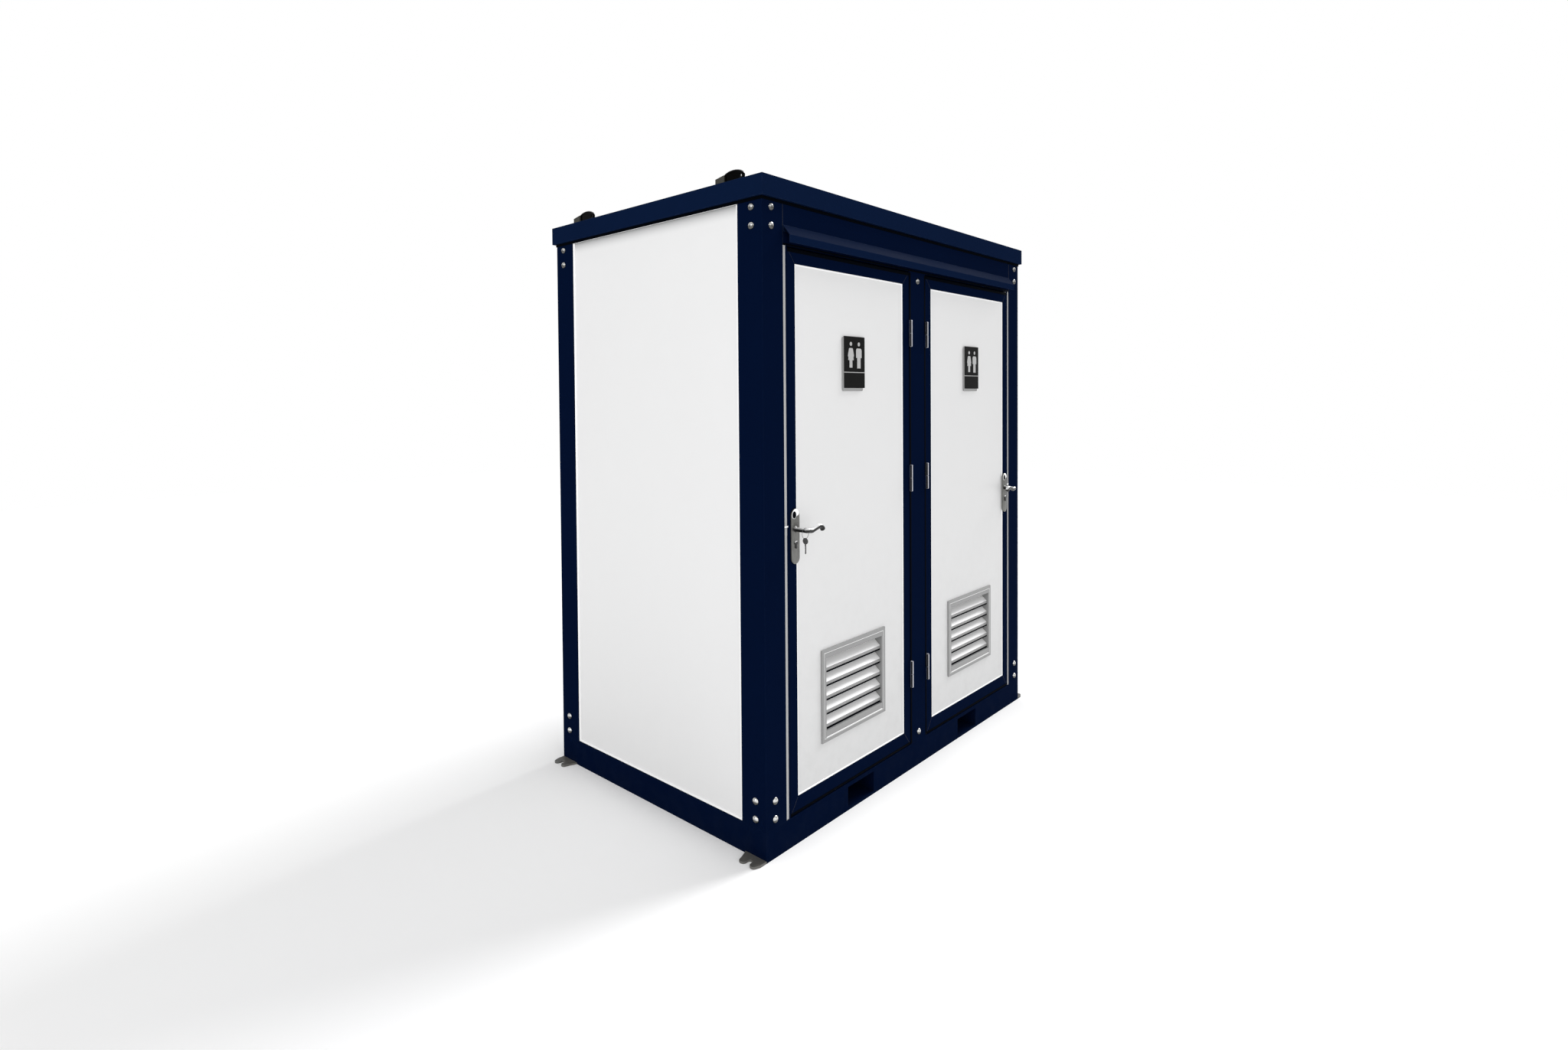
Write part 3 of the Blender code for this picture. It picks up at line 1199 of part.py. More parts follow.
def hand_basin(name, side):
    """A moulded wall basin in one piece with its tap pillar and spout."""
    out, along, high = BASIN_SIZE
    wall = SIDE_WALL_FACE - GAP
    basin = soften(box(name, (side * wall, BASIN_Y - along / 2, BASIN_TOP - high),
                       (side * (wall - out), BASIN_Y + along / 2, BASIN_TOP)), BASIN_ROUND, 3)
    shape = bmesh.new()
    bmesh.ops.create_uvsphere(shape, u_segments=24, v_segments=12, radius=1.0,
                              matrix=Matrix.Diagonal((*BOWL_RADII, 1.0)))
    cut(basin, from_bmesh(name + "_bowl", shape, (side * (wall - BOWL_OUT), BASIN_Y, BASIN_TOP)))
    tap_x = side * (wall - TAP_FROM_WALL)
    spout_z = BASIN_TOP + TAP_HEIGHT - SPOUT_DROP
    tap_top = BASIN_TOP + TAP_HEIGHT
    fuse(basin, rod(name + "_pillar", (tap_x, BASIN_Y, BASIN_TOP - PAST), (tap_x, BASIN_Y, tap_top),
                    TAP_RADIUS, 20))
    fuse(basin, rod(name + "_spout", (tap_x, BASIN_Y, spout_z),
                    (tap_x - side * SPOUT_REACH, BASIN_Y, spout_z - SPOUT_DROP / 2), SPOUT_RADIUS, 14))
    cut(basin, rod(name + "_stem_bore", (tap_x, BASIN_Y, tap_top - TAP_STEM_LENGTH - TAP_TRAVEL),
                   (tap_x, BASIN_Y, tap_top + PAST), TAP_STEM_RADIUS + TAP_STEM_CLEARANCE, 16))
    return part(basin, "ceramic")


def tap_button(name, side):
    """The tap's push cap, with its stem in the pillar's bore."""
    x = side * (SIDE_WALL_FACE - GAP - TAP_FROM_WALL)
    low = BASIN_TOP + TAP_HEIGHT + TAP_CAP_LIFT
    cap = rod(name, (x, BASIN_Y, low), (x, BASIN_Y, low + TAP_CAP_HEIGHT), TAP_CAP_RADIUS, 24)
    fuse(cap, rod(name + "_stem", (x, BASIN_Y, low - TAP_STEM_LENGTH + TAP_CAP_HEIGHT / 2),
                  (x, BASIN_Y, low + TAP_CAP_HEIGHT / 2), TAP_STEM_RADIUS, 16))
    return part(cap, "chrome")


def build_rooms():
    """The fittings of both rooms."""
    for word, side in (("left", -1), ("right", 1)):
        x = side * ROOM_CENTRE
        toilet_pan("toilet_pan_" + word, x)
        toilet_seat("toilet_seat_" + word, x)
        cistern("cistern_" + word, x)
        flush_button("flush_button_" + word, x)
        hand_basin("hand_basin_" + word, side)
        tap_button("tap_button_" + word, side)


build_base()
build_walls()
build_roof()
build_front_frame()
build_doors()
build_rooms()
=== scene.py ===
"""Looks of a double site toilet cabin: coated steel, wall skins, door furniture and room fittings."""

import math

import bmesh
import bpy
import numpy as np
from mathutils import Matrix, Vector


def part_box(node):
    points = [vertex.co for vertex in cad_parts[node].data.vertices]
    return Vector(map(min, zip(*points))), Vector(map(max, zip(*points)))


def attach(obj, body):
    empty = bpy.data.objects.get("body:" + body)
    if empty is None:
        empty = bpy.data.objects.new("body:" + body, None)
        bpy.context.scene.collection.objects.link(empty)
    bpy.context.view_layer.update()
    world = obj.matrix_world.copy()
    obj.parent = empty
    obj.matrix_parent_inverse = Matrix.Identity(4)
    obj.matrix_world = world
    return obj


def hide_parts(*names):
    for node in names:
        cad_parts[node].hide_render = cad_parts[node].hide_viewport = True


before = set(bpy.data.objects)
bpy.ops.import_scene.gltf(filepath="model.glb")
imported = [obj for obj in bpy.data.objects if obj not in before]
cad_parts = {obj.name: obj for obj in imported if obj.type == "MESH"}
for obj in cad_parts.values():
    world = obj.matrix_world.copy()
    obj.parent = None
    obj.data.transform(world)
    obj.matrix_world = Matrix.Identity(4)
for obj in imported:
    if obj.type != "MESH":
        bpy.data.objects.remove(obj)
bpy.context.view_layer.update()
SIDES = (("left", -1), ("right", 1))
ENDS = (("front", -1), ("rear", 1))

# Places read from the frame

FASCIA_HEIGHT = 0.074
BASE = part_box("base_beam_front")
FRONT = BASE[0].y
HALF_WIDTH = BASE[1].x
HALF_DEPTH = -FRONT
BASE_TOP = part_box("base_beam_left")[1].z
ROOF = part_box("roof_frame")
EAVES = ROOF[1].z - FASCIA_HEIGHT

# Camera, fitted to the cabin's corners in the photograph

CAMERA_PLACE = (-3.2039, -2.4078, 1.6551)
CAMERA_YAW, CAMERA_PITCH, CAMERA_ROLL = -0.7906, -0.0232, -0.0096
FOCAL_PIXELS = 1036.85
IMAGE_CENTRE = (913.24, 545.38)
IMAGE_SIZE = (2048, 1372)
SENSOR = 36.0


def linear(colour):
    """A colour of 0 to 255, or one level for a grey, as Blender's linear values."""
    values = np.full(3, colour, float) / 255
    return tuple(np.where(values <= 0.04045, values / 12.92, ((values + 0.055) / 1.055) ** 2.4)) + (1.0,)


def placed(name, data):
    """A new object of the scene."""
    item = bpy.data.objects.new(name, data)
    bpy.context.scene.collection.objects.link(item)
    return item


# Shader node groups

class Graph:
    """A node tree with short calls to add and join nodes."""

    def __init__(self, tree):
        self.tree = tree

    def join(self, value, socket):
        """Link an output to a socket, or set the socket to a plain value."""
        if isinstance(value, bpy.types.NodeSocket):
            self.tree.links.new(value, socket)
        else:
            socket.default_value = value

    def add(self, kind, settings=None, **inputs):
        """A node with its settings and inputs. An input named i5 is the socket numbered 5."""
        made = self.tree.nodes.new("ShaderNode" + kind)
        for key, value in (settings or {}).items():
            setattr(made, key, value)
        for key, value in inputs.items():
            numbered = key[0] == "i" and key[1:].isdigit()
            self.join(value, made.inputs[int(key[1:]) if numbered else key.replace("_", " ")])
        return made

    def maths(self, operation, first, second=0.0, clamp=False):
        """One Math node's result."""
        return self.add("Math", {"operation": operation, "use_clamp": clamp}, i0=first, i1=second).outputs[0]

    def times(self, first, second, clamp=False):
        """The product of two values."""
        return self.maths("MULTIPLY", first, second, clamp)

    def dot(self, first, second):
        """How far two directions agree."""
        return self.add("VectorMath", {"operation": "DOT_PRODUCT"}, i0=first, i1=second).outputs["Value"]

    def blend(self, share, first, second):
        """Two colours mixed by a share."""
        return self.add("Mix", {"data_type": "RGBA"}, i0=share, i6=first, i7=second).outputs[2]

    def span(self, value, low, high, to_low=0.0, to_high=1.0):
        """A value stretched from one span to another and held inside it."""
        made = self.add("MapRange", {"clamp": True}, i0=value, i1=low, i2=high, i3=to_low, i4=to_high)
        return made.outputs[0]

    def noise(self, vector, scale, detail=3.0, rough=0.55):
        """A noise pattern's value."""
        made = self.add("TexNoise", None, Vector=vector, Scale=scale, Detail=detail, Roughness=rough)
        return made.outputs[0]

    def given(self, kind="Object"):
        """The surface's object coordinates, or its object normal."""
        return self.add("TexCoord").outputs[kind]

    def part(self, vector, axis):
        """One component of a vector."""
        return self.add("SeparateXYZ", None, Vector=vector).outputs[axis]


def group(name, inputs, outputs, body):
    """A node group with named sockets, whose outputs a function works out from its inputs."""
    tree = bpy.data.node_groups.new(name, "ShaderNodeTree")
    for way, sockets in (("INPUT", inputs), ("OUTPUT", outputs)):
        for label, kind in sockets.items():
            tree.interface.new_socket(label, in_out=way, socket_type="NodeSocket" + kind)
    results = body(Graph(tree), tree.nodes.new("NodeGroupInput").outputs)
    for value, socket in zip(results, tree.nodes.new("NodeGroupOutput").inputs):
        tree.links.new(value, socket)
    return tree


def mottle(graph, given):
    """Slow cloudy change of a colour: two noises make it lighter and darker by an amount."""
    where = graph.given()
    broad = graph.noise(where, given["Scale"], 4.0)
    fine = graph.noise(where, graph.times(given["Scale"], 9.0), 2.0)
    cloud = graph.maths("ADD", graph.times(broad, 0.7), graph.times(fine, 0.3))
    swing = graph.times(graph.maths("SUBTRACT", cloud, 0.5), graph.times(given["Amount"], 2.0))
    value = graph.maths("ADD", swing, 1.0)
    return graph.add("HueSaturation", None, Value=value, Color=given["Colour"]).outputs[0], cloud


def grain(graph, given):
    """Fine surface height: a noise of a given size over a slower swell, as coating or moulding leaves it."""
    where = graph.given()
    fine = graph.noise(where, given["Scale"], 2.0)
    slow = graph.noise(where, 12.0, 2.0)
    return (graph.maths("ADD", fine, graph.times(slow, 0.4)),)


def worn_edge_and_highlight_mask(graph, given):
    """Mask of worn edges, which on the navy also gives painted edge highlights: where a rounded normal leaves
    the true one, broken up by noise.
    """
    rounded = graph.add("Bevel", {"samples": 4}, Radius=given["Reach"]).outputs[0]
    true = graph.add("NewGeometry").outputs["Normal"]
    edge = graph.span(graph.dot(rounded, true), 0.999, 0.90)
    broken = graph.span(graph.noise(graph.given(), 35.0, 5.0, 0.7), 0.40, 0.68)
    return (graph.times(graph.times(edge, broken), given["Amount"], clamp=True),)


def dust(graph, given):
    """Mask of dust and splashes: strongest at the foot and fading with height, broken up by noise."""
    where = graph.given()
    low = graph.span(graph.part(where, "Z"), given["Top"], 0.0)
    patch = graph.span(graph.noise(where, 18.0, 6.0, 0.65), 0.42, 0.75)
    return (graph.times(graph.times(graph.times(low, low), patch), given["Amount"], clamp=True),)


def drawn_lines(graph, given):
    """Fine lines along one direction: noise on coordinates that are squeezed across that direction."""
    stretched = graph.add("VectorMath", {"operation": "MULTIPLY"}, i0=graph.given(), i1=given["Squeeze"])
    return (graph.noise(stretched.outputs[0], given["Scale"], 3.0, 0.6),)


def painted_shade_facing(graph, given):
    """Mask for painted shade: the surfaces that face one direction, rising as the normal's share along it
    rises.
    """
    return (graph.span(graph.dot(graph.given("Normal"), given["Direction"]), given["From"], given["To"]),)


MASK = {"Mask": "Float"}
MOTTLE = group("mottle", {"Colour": "Color", "Scale": "Float", "Amount": "Float"},
               {"Colour": "Color", "Cloud": "Float"}, mottle)
GRAIN = group("grain", {"Scale": "Float"}, {"Height": "Float"}, grain)
EDGE_WEAR_AND_HIGHLIGHT = group("worn_edge_and_highlight_mask", {"Reach": "Float", "Amount": "Float"}, MASK, worn_edge_and_highlight_mask)
DUST = group("dust", {"Top": "Float", "Amount": "Float"}, MASK, dust)
BRUSHED = group("brushed", {"Squeeze": "Vector", "Scale": "Float"}, {"Line": "Float"}, drawn_lines)
PAINTED_SHADE_MASK = group("facing", {"Direction": "Vector", "From": "Float", "To": "Float"}, MASK, painted_shade_facing)


# Materials

FINISH = {}


class Finish(Graph):
    """A material round one Principled shader, with the shared groups to hand."""

    def __init__(self, name, **plain):
        self.name = name
        self.material = bpy.data.materials.new(name + "_finish")
        self.material.use_nodes = True
        super().__init__(self.material.node_tree)
        self.shader = self.tree.nodes["Principled BSDF"]
        for label, value in plain.items():
            self.shader.inputs[label.replace("_", " ")].default_value = value

    def use(self, tree, **inputs):
        """A shared group's outputs."""
        return self.add("Group", {"node_tree": tree}, **inputs).outputs

    def tone(self, colour, size, amount):
        """A mottled colour, and the cloud behind it."""
        return self.use(MOTTLE, Colour=linear(colour), Scale=size, Amount=amount).values()

    def gloss(self, cloud, low, high):
        """A roughness that follows the cloud."""
        return self.span(cloud, 0.3, 0.7, low, high)

    def grain(self, scale):
        """The fine grain's height."""
        return self.use(GRAIN, Scale=scale)["Height"]

    def done(self, colour, rough, height, depth):
        """Join the colour, the roughness and a relief of so many metres, and keep the material by name."""
        relief = self.add("Bump", None, Height=height, Distance=depth, Strength=1.0).outputs[0]
        for label, value in (("Base Color", colour), ("Roughness", rough), ("Normal", relief)):
            self.join(value, self.shader.inputs[label])
        FINISH[self.name] = self.material


def coated(name, colour, roughness, cloud=0.05, cloud_size=3.0, grain=500.0, depth=0.00006, edge_wear_and_highlight=None,
           dust=None, grey_by_height=None, **plain):
    """A painted or moulded surface: mottled colour, fine grain, edges lightened by an amount to a colour
    (worn paint, and painted edge highlights on the navy), dust of an amount and a colour up to a height, and
    a grey that deepens between two heights to an amount (painted shade under the eaves on the walls, darker
    towards the foot on the doors)."""
    made = Finish(name, **plain)
    paint, patches = made.tone(colour, cloud_size, cloud)
    rough = made.gloss(patches, roughness - 0.05, roughness + 0.05)
    # Lighter edges: worn paint, and on the navy painted edge highlights as well.
    if edge_wear_and_highlight:
        mask = made.use(EDGE_WEAR_AND_HIGHLIGHT, Reach=0.003, Amount=edge_wear_and_highlight[0])["Mask"]
        paint = made.blend(mask, paint, linear(edge_wear_and_highlight[1]))
    if dust:
        mask = made.use(DUST, Top=dust[2], Amount=dust[0])["Mask"]
        paint = made.blend(mask, paint, linear(dust[1]))
        rough = made.maths("ADD", rough, made.times(mask, 0.3), clamp=True)
    # A grey that deepens between two heights: painted shade under the eaves on the walls; on the doors,
    # darker towards the bottom.
    if grey_by_height:
        share = made.span(made.part(made.given(), "Z"), grey_by_height[0], grey_by_height[1])
        paint = made.blend(made.times(made.times(share, share), grey_by_height[2]), paint, linear((96, 98, 100)))
    made.done(paint, rough, made.grain(grain), depth)


def brushed(name, colour, roughness, squeeze=(1.0, 1.0, 1.0), lines=0.10, scale=60.0, depth=0.00004,
            metallic=1.0, soiled=0.0, painted_shade=None, away=(0.0, 0.0, -1.0), span=(0.0, 0.4)):
    """Bare metal with fine drawn lines in its colour, gloss and surface, some soiling, and painted shade: a
    darker colour on the faces that turn away from the light, so that the rest reads as lit."""
    made = Finish(name, Metallic=metallic)
    line = made.use(BRUSHED, Squeeze=squeeze, Scale=scale)["Line"]
    metal, patches = made.tone(colour, 20.0, lines)
    metal = made.blend(made.span(line, 0.35, 0.7), metal, linear(np.multiply(colour, 1 - lines)))
    if soiled:
        mask = made.times(made.span(patches, 0.5, 0.7), soiled)
        metal = made.blend(mask, metal, linear(np.multiply(colour, 0.45)))
    # Painted shade: faces turned one way take the darker colour.
    if painted_shade:
        mask = made.use(PAINTED_SHADE_MASK, Direction=away, From=span[0], To=span[1])["Mask"]
        metal = made.blend(mask, metal, linear(painted_shade))
    made.done(metal, made.span(line, 0.3, 0.75, roughness - 0.05, roughness + 0.08), line, depth)


def grille_finish():
    """Grey painted grille with painted light: its sloping slat faces are white as a painted highlight, and
    its undersides are near-black as painted shade.
    """
    made = Finish("grille", Specular_IOR_Level=0.4)
    lean = made.part(made.given("Normal"), "Z")
    # Painted highlight: slat faces that slope upwards take white.
    painted_highlight_slope = made.times(made.span(lean, 0.45, 0.55), made.span(lean, 0.95, 0.90))
    paint, patches = made.tone(147, 5.0, 0.04)
    mask = made.use(EDGE_WEAR_AND_HIGHLIGHT, Reach=0.002, Amount=0.35)["Mask"]
    paint = made.blend(mask, paint, linear(182))
    paint = made.blend(painted_highlight_slope, paint, linear(253))
    # Painted shade: faces turned downwards take near-black.
    painted_shade_under = made.use(PAINTED_SHADE_MASK, Direction=(0.0, 0.0, -1.0), From=0.3, To=0.6)["Mask"]
    paint = made.blend(painted_shade_under, paint, linear(20))
    made.done(paint, made.gloss(patches, 0.36, 0.46), made.grain(500.0), 0.00005)


def sign_finish():
    """Black laminate on a grey core: the face is black and the cut edges show grey."""
    made = Finish("sign", Specular_IOR_Level=0.05)
    face = made.span(made.part(made.given("Normal"), "Y"), -0.7, -0.9)
    black, patches = made.tone(15, 14.0, 0.10)
    paint = made.blend(face, linear(168), black)
    made.done(paint, made.gloss(patches, 0.40, 0.52), made.grain(700.0), 0.00004)


def vinyl_finish():
    """Safety vinyl: grey with fine darker and lighter flecks."""
    made = Finish("floor")
    flecks = made.add("TexVoronoi", None, Vector=made.given(), Scale=160.0)
    shade = made.add("SeparateColor", None, Color=flecks.outputs["Color"]).outputs[0]
    grey, patches = made.tone((112, 116, 120), 4.0, 0.06)
    grey = made.blend(made.span(shade, 0.82, 0.86), grey, linear((62, 66, 70)))
    grey = made.blend(made.span(shade, 0.14, 0.10), grey, linear((168, 172, 176)))
    made.done(grey, made.gloss(patches, 0.50, 0.62), flecks.outputs["Distance"], 0.00025)


# Lighter edges on the navy: worn paint, and painted edge highlights.
coated("navy", (4, 15, 40), 0.46, cloud=0.1, grain=260, depth=0.0001, edge_wear_and_highlight=(0.3, (28, 42, 70)),
       dust=(0.06, (60, 66, 76), 0.35), Specular_IOR_Level=0.001)
# The same navy made lighter for the roof frame and rain hood: painted light; its lighter edges are worn paint
# and painted edge highlights.
coated("fascia", (10, 24, 51), 0.46, cloud=0.1, grain=260, depth=0.0001, edge_wear_and_highlight=(0.3, (70, 82, 104)),
       Specular_IOR_Level=0.001)
# The grey near the top of the walls is painted shade under the eaves.
coated("panel", 228, 0.42, cloud=0.015, cloud_size=1.4, grain=320, dust=(0.03, (186, 184, 178), 0.8),
       grey_by_height=(2.3, 2.356, 0.8))
# The doors turn greyer towards the bottom.
coated("door", 227, 0.4, cloud=0.015, cloud_size=1.6, grain=320, dust=(0.15, (164, 164, 162), 1.8),
       grey_by_height=(2.2, 0, 0.2))
# White for the beads; on the strike bands, the vent sills and the lock bosses it is a painted highlight.
coated("bead", 252, 0.3, cloud=0.01, depth=0.00003)
coated("roof", (206, 208, 208), 0.48, cloud=0.06, cloud_size=2, grain=200, dust=(0.25, (150, 148, 138), 4))
vinyl_finish()
coated("strip", 172, 0.42, cloud=0.04, cloud_size=6, grain=420)
grille_finish()
coated("ridge", 208, 0.35, cloud=0.03)
sign_finish()
coated("figure", 178, 0.5, cloud=0.1, cloud_size=60, grain=900)
brushed("plate", (124, 124, 121), 0.34, (14, 14, 1), lines=0.16, scale=45, soiled=0.4)
# Painted shade: chrome faces that turn downwards are darkened.
brushed("chrome", (240, 240, 242), 0.12, lines=0.03, depth=0.00001, soiled=0.1, painted_shade=(42, 42, 44),
        span=(-0.1, 0.25))
# Painted highlight and painted shade: only lever faces that turn upwards keep the white, the rest is
# near-black.
brushed("lever", 246, 0.2, lines=0.03, depth=0.00001, metallic=0.5, soiled=0.1, painted_shade=26,
        span=(-0.6, -0.25))
# Painted highlight and painted shade: the lock cylinders' faces that turn up are white, the rest dark grey.
brushed("barrel", 250, 0.24, lines=0.05, scale=120, depth=0.00002, metallic=0.1, painted_shade=46,
        span=(-0.45, -0.15))
# Painted shade: bolt head faces that turn downwards are darker.
brushed("bolt", (218, 218, 216), 0.2, lines=0.06, scale=140, depth=0.00003, soiled=0.3, painted_shade=(92, 92, 90),
        span=(-0.15, 0.12))
# Painted shade: the side of each hinge barrel turned towards -x is near-black navy.
brushed("zinc", (226, 226, 234), 0.34, (1, 1, 0.05), scale=300, metallic=0.4, painted_shade=(6, 10, 22),
        away=(-1, -0.35, 0), span=(0.62, 0.92))
brushed("key", 92, 0.42, (1, 1, 4), lines=0.15, scale=220, soiled=0.5, metallic=0.3)
coated("lug", (98, 98, 96), 0.5, cloud=0.22, cloud_size=26, grain=220, depth=0.0002,
       edge_wear_and_highlight=(0.8, (166, 166, 162)), dust=(0.3, (132, 124, 110), 0.1), Metallic=0.35)
# Painted highlight: only eye faces that turn upwards are light, the rest is near-black.
brushed("eye", (206, 204, 206), 0.16, scale=50, depth=0.00008, soiled=0.5, painted_shade=12, span=(-0.8, -0.42))
# Painted reflection: the hoop is white, with the faces that turn straight up dark.
brushed("hoop", (246, 246, 250), 0.18, scale=50, metallic=0.5, painted_shade=24, away=(0, 0, 1), span=(0.8, 0.95))
coated("block", (56, 56, 50), 0.55, cloud=0.2, cloud_size=24, grain=180, depth=0.0002,
       edge_wear_and_highlight=(0.6, (150, 148, 138)), Metallic=0.3)
coated("ceramic", (240, 240, 236), 0.1, cloud=0.01, cloud_size=5, grain=60, depth=0.00002, Coat_Weight=0.6,
       Coat_Roughness=0.05)
coated("plastic", (236, 236, 232), 0.28, cloud=0.01, grain=600, depth=0.00002)
coated("rubber", (22, 22, 23), 0.7, cloud=0.12, cloud_size=30, grain=700, depth=0.00008)
# Near-black for painted shade: the shadow strips, the lines under the vent slats and the keyholes.
coated("painted_shade_black", (2, 4, 9), 0.85, cloud=0.1, grain=600, depth=0.00005, Specular_IOR_Level=0.02)
coated("carrier", 150, 0.45, cloud=0.05)
coated("joint", (4, 9, 24), 0.6, cloud=0.1, grain=400)
# Near-black for the keyways: painted shade in their slots.
coated("black", (6, 6, 7), 0.55, cloud=0.1)
coated("paper", (238, 236, 230), 0.9, cloud=0.03, cloud_size=40, grain=900, depth=0.0003)
coated("lens", (240, 240, 236), 0.45, cloud=0.01, grain=300)

CORNERS = tuple(f"{end}_{word}" for end, _ in ENDS for word, _ in SIDES)


def on_both(*names):
    """Node names with each side's word after them."""
    return tuple(f"{name}_{word}" for name in names for word, _ in SIDES)


CARRIED = {
    "navy": ("base_beam_front", "base_beam_rear", "base_bearer_centre", "door_mullion", "lintel_beam")
            + on_both("base_beam", "fork_tube", "leaf_frame") + tuple("corner_post_" + at for at in CORNERS),
    "fascia": ("roof_frame", "rain_hood"),
    "panel": ("side_panel_left", "side_panel_right", "rear_panel", "partition_panel"),
    "door": on_both("door_panel"),
    "floor": ("floor_board",),
    "roof": ("roof_panel",),
    "strip": on_both("jamb_strip"),
    "grille": on_both("louvre_vent"),
    "carrier": on_both("sign_plate"),
    "lug": tuple("tie_down_lug_" + at for at in CORNERS),
    "eye": tuple("lifting_eye_" + at for at in CORNERS),
    "chrome": on_both("lever_handle", "latch_bolt", "flush_button", "tap_button"),
    "plate": on_both("handle_plate_outer", "handle_plate_inner"),
    "key": ("door_key",),
    "ceramic": on_both("toilet_pan", "cistern", "hand_basin"),
    "plastic": on_both("toilet_seat"),
}


def dress_nodes():
    """Give every carried node its finish."""
    for finish, names in CARRIED.items():
        for name in names:
            for slot in bpy.data.objects[name].material_slots:
                slot.material = FINISH[finish]


# Surfaces worked out with numpy

SQUARE = np.array(((1, 1), (-1, 1), (-1, -1), (1, -1)), float)


def skin(rings, loop=False):
    """Points and faces over rings[along, round]: quads between neighbours, and a flat end face at each end
    unless the last ring joins the first."""
    rings = np.asarray(rings, float)
    along, round_ = rings.shape[:2]
    i, j = np.meshgrid(np.arange(along if loop else along - 1), np.arange(round_), indexing="ij")
    after = (i + 1) % along
    beside = (j + 1) % round_
    quads = np.stack([i * round_ + j, i * round_ + beside, after * round_ + beside, after * round_ + j], -1)
    faces = quads.reshape(-1, 4).tolist()
    if not loop:
        faces.append(list(range(round_))[::-1])
        faces.append(list(range((along - 1) * round_, along * round_)))
    return rings.reshape(-1, 3), faces


def piece(name, body, slot, finish, skins, replaces=(), sharp=35):
    """One mesh object from several skins, welded, turned outwards and carried by a body."""
    points, faces, start = [], [], 0
    for part_points, part_faces in skins:
        points.append(part_points)
        faces += [[start + k for k in face] for face in part_faces]
        start += len(part_points)
    mesh = bpy.data.meshes.new(name)
    mesh.from_pydata(np.vstack(points), [], faces)
    shape = bmesh.new()
    shape.from_mesh(mesh)
    bmesh.ops.remove_doubles(shape, verts=shape.verts, dist=2e-7)
    bmesh.ops.recalc_face_normals(shape, faces=shape.faces)
    shape.to_mesh(mesh)
    shape.free()
    mesh.shade_smooth()
    mesh.set_sharp_from_angle(angle=math.radians(sharp))
    mesh.materials.append(FINISH[finish])
    item = placed(name, mesh)
    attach(item, body)
    if replaces:
        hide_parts(*replaces)


def ring_angles(count):
    """Evenly spaced angles round a circle."""
    return np.arange(count) * math.tau / count


def turned(profile, centre, axis="z", sides=24):
    """A surface of revolution: each (radius, height) of the profile becomes a circle round the axis through
    the centre."""
    profile = np.asarray(profile, float)
    angle = ring_angles(sides)
    a = profile[:, :1] * np.cos(angle)[None]
    b = profile[:, :1] * np.sin(angle)[None]
    h = np.repeat(profile[:, 1:], sides, axis=1)
    order = {"z": (a, b, h), "y": (a, h, b), "x": (h, a, b)}[axis]
    return skin(np.stack(order, -1) + np.asarray(centre, float))


def unit(vectors):
    """Each row drawn to length one."""
    return vectors / np.linalg.norm(vectors, axis=1, keepdims=True)


def carried(path, section, up=(0.0, 0.0, 1.0), sizes=None, loop=False):
    """A section of (across, up) points carried along a path: at each point the across direction is the
    path's direction crossed with up, and the section is scaled by that point's sizes."""
    path = np.asarray(path, float)
    section = np.asarray(section, float)
    if loop:
        along = unit(np.roll(path, -1, axis=0) - np.roll(path, 1, axis=0))
    else:
        along = unit(np.gradient(path, axis=0))
    across = unit(np.cross(along, np.asarray(up, float)))
    upward = np.cross(across, along)
    sizes = np.ones((len(path), 2)) if sizes is None else np.asarray(sizes, float)
    rings = (path[:, None] + across[:, None] * (section[None, :, :1] * sizes[:, None, :1])
             + upward[:, None] * (section[None, :, 1:] * sizes[:, None, 1:]))
    return skin(rings, loop)


def circle(radius, sides):
    """A round section."""
    angle = ring_angles(sides)
    return radius * np.stack([np.cos(angle), np.sin(angle)], -1)


def round_corners(width, height, radius, steps=6):
    """A rectangle with round corners, as an outline counted round its centre."""
    angle = np.linspace(0, math.pi / 2, steps + 1)
    turn = (np.arange(4) * math.pi / 2)[:, None]
    centres = SQUARE * (width / 2 - radius, height / 2 - radius)
    arcs = np.stack([np.cos(angle + turn), np.sin(angle + turn)], -1) * radius
    return (centres[:, None] + arcs).reshape(-1, 2)


def drawn_in(outline, inset):
    """An outline moved inwards: each point goes along the mean of its two sides' normals by the inset."""
    outline = np.asarray(outline, float)
    before = unit(outline - np.roll(outline, 1, axis=0))
    after = unit(np.roll(outline, -1, axis=0) - outline)
    mean = unit(before + after)
    inward = np.stack([-mean[:, 1], mean[:, 0]], -1)
    share = 1 / np.maximum((mean * after).sum(1), 0.5)
    return outline + inward * (inset * share)[:, None]


X, Y, Z = np.eye(3)
AXES = {"front": (X, Z, -Y), "back": (X, Z, Y), "left": (Y, Z, -X), "right": (Y, Z, X), "top": (X, Y, Z),
        "under": (X, Y, -Z)}


def on_face(flat, height, place, facing):
    """Flat points lifted by a height, or by one each, over a place on a face that looks one way."""
    u, v, n = AXES[facing]
    flat = np.asarray(flat, float)
    return np.asarray(place, float) + flat[:, :1] * u + flat[:, 1:] * v + height * n


def layered(outline, levels, place, facing):
    """A skin through copies of an outline, each drawn in by an inset and lifted to a height."""
    return skin(np.stack([on_face(drawn_in(outline, inset), height, place, facing)
                          for inset, height in levels]))


def slab(outline, thickness, place, facing="front", edge=0.0, steps=3, low=0.0):
    """A flat plate: the outline rises from low to its thickness and its rim turns over in a quarter
    round."""
    levels = [(0.0, low)]
    if edge:
        levels += [(edge * (1 - math.cos(a)), thickness - edge * (1 - math.sin(a)))
                   for a in np.linspace(0, math.pi / 2, steps + 1)]
    else:
        levels += [(0.0, thickness)]
    return layered(outline, levels, place, facing)


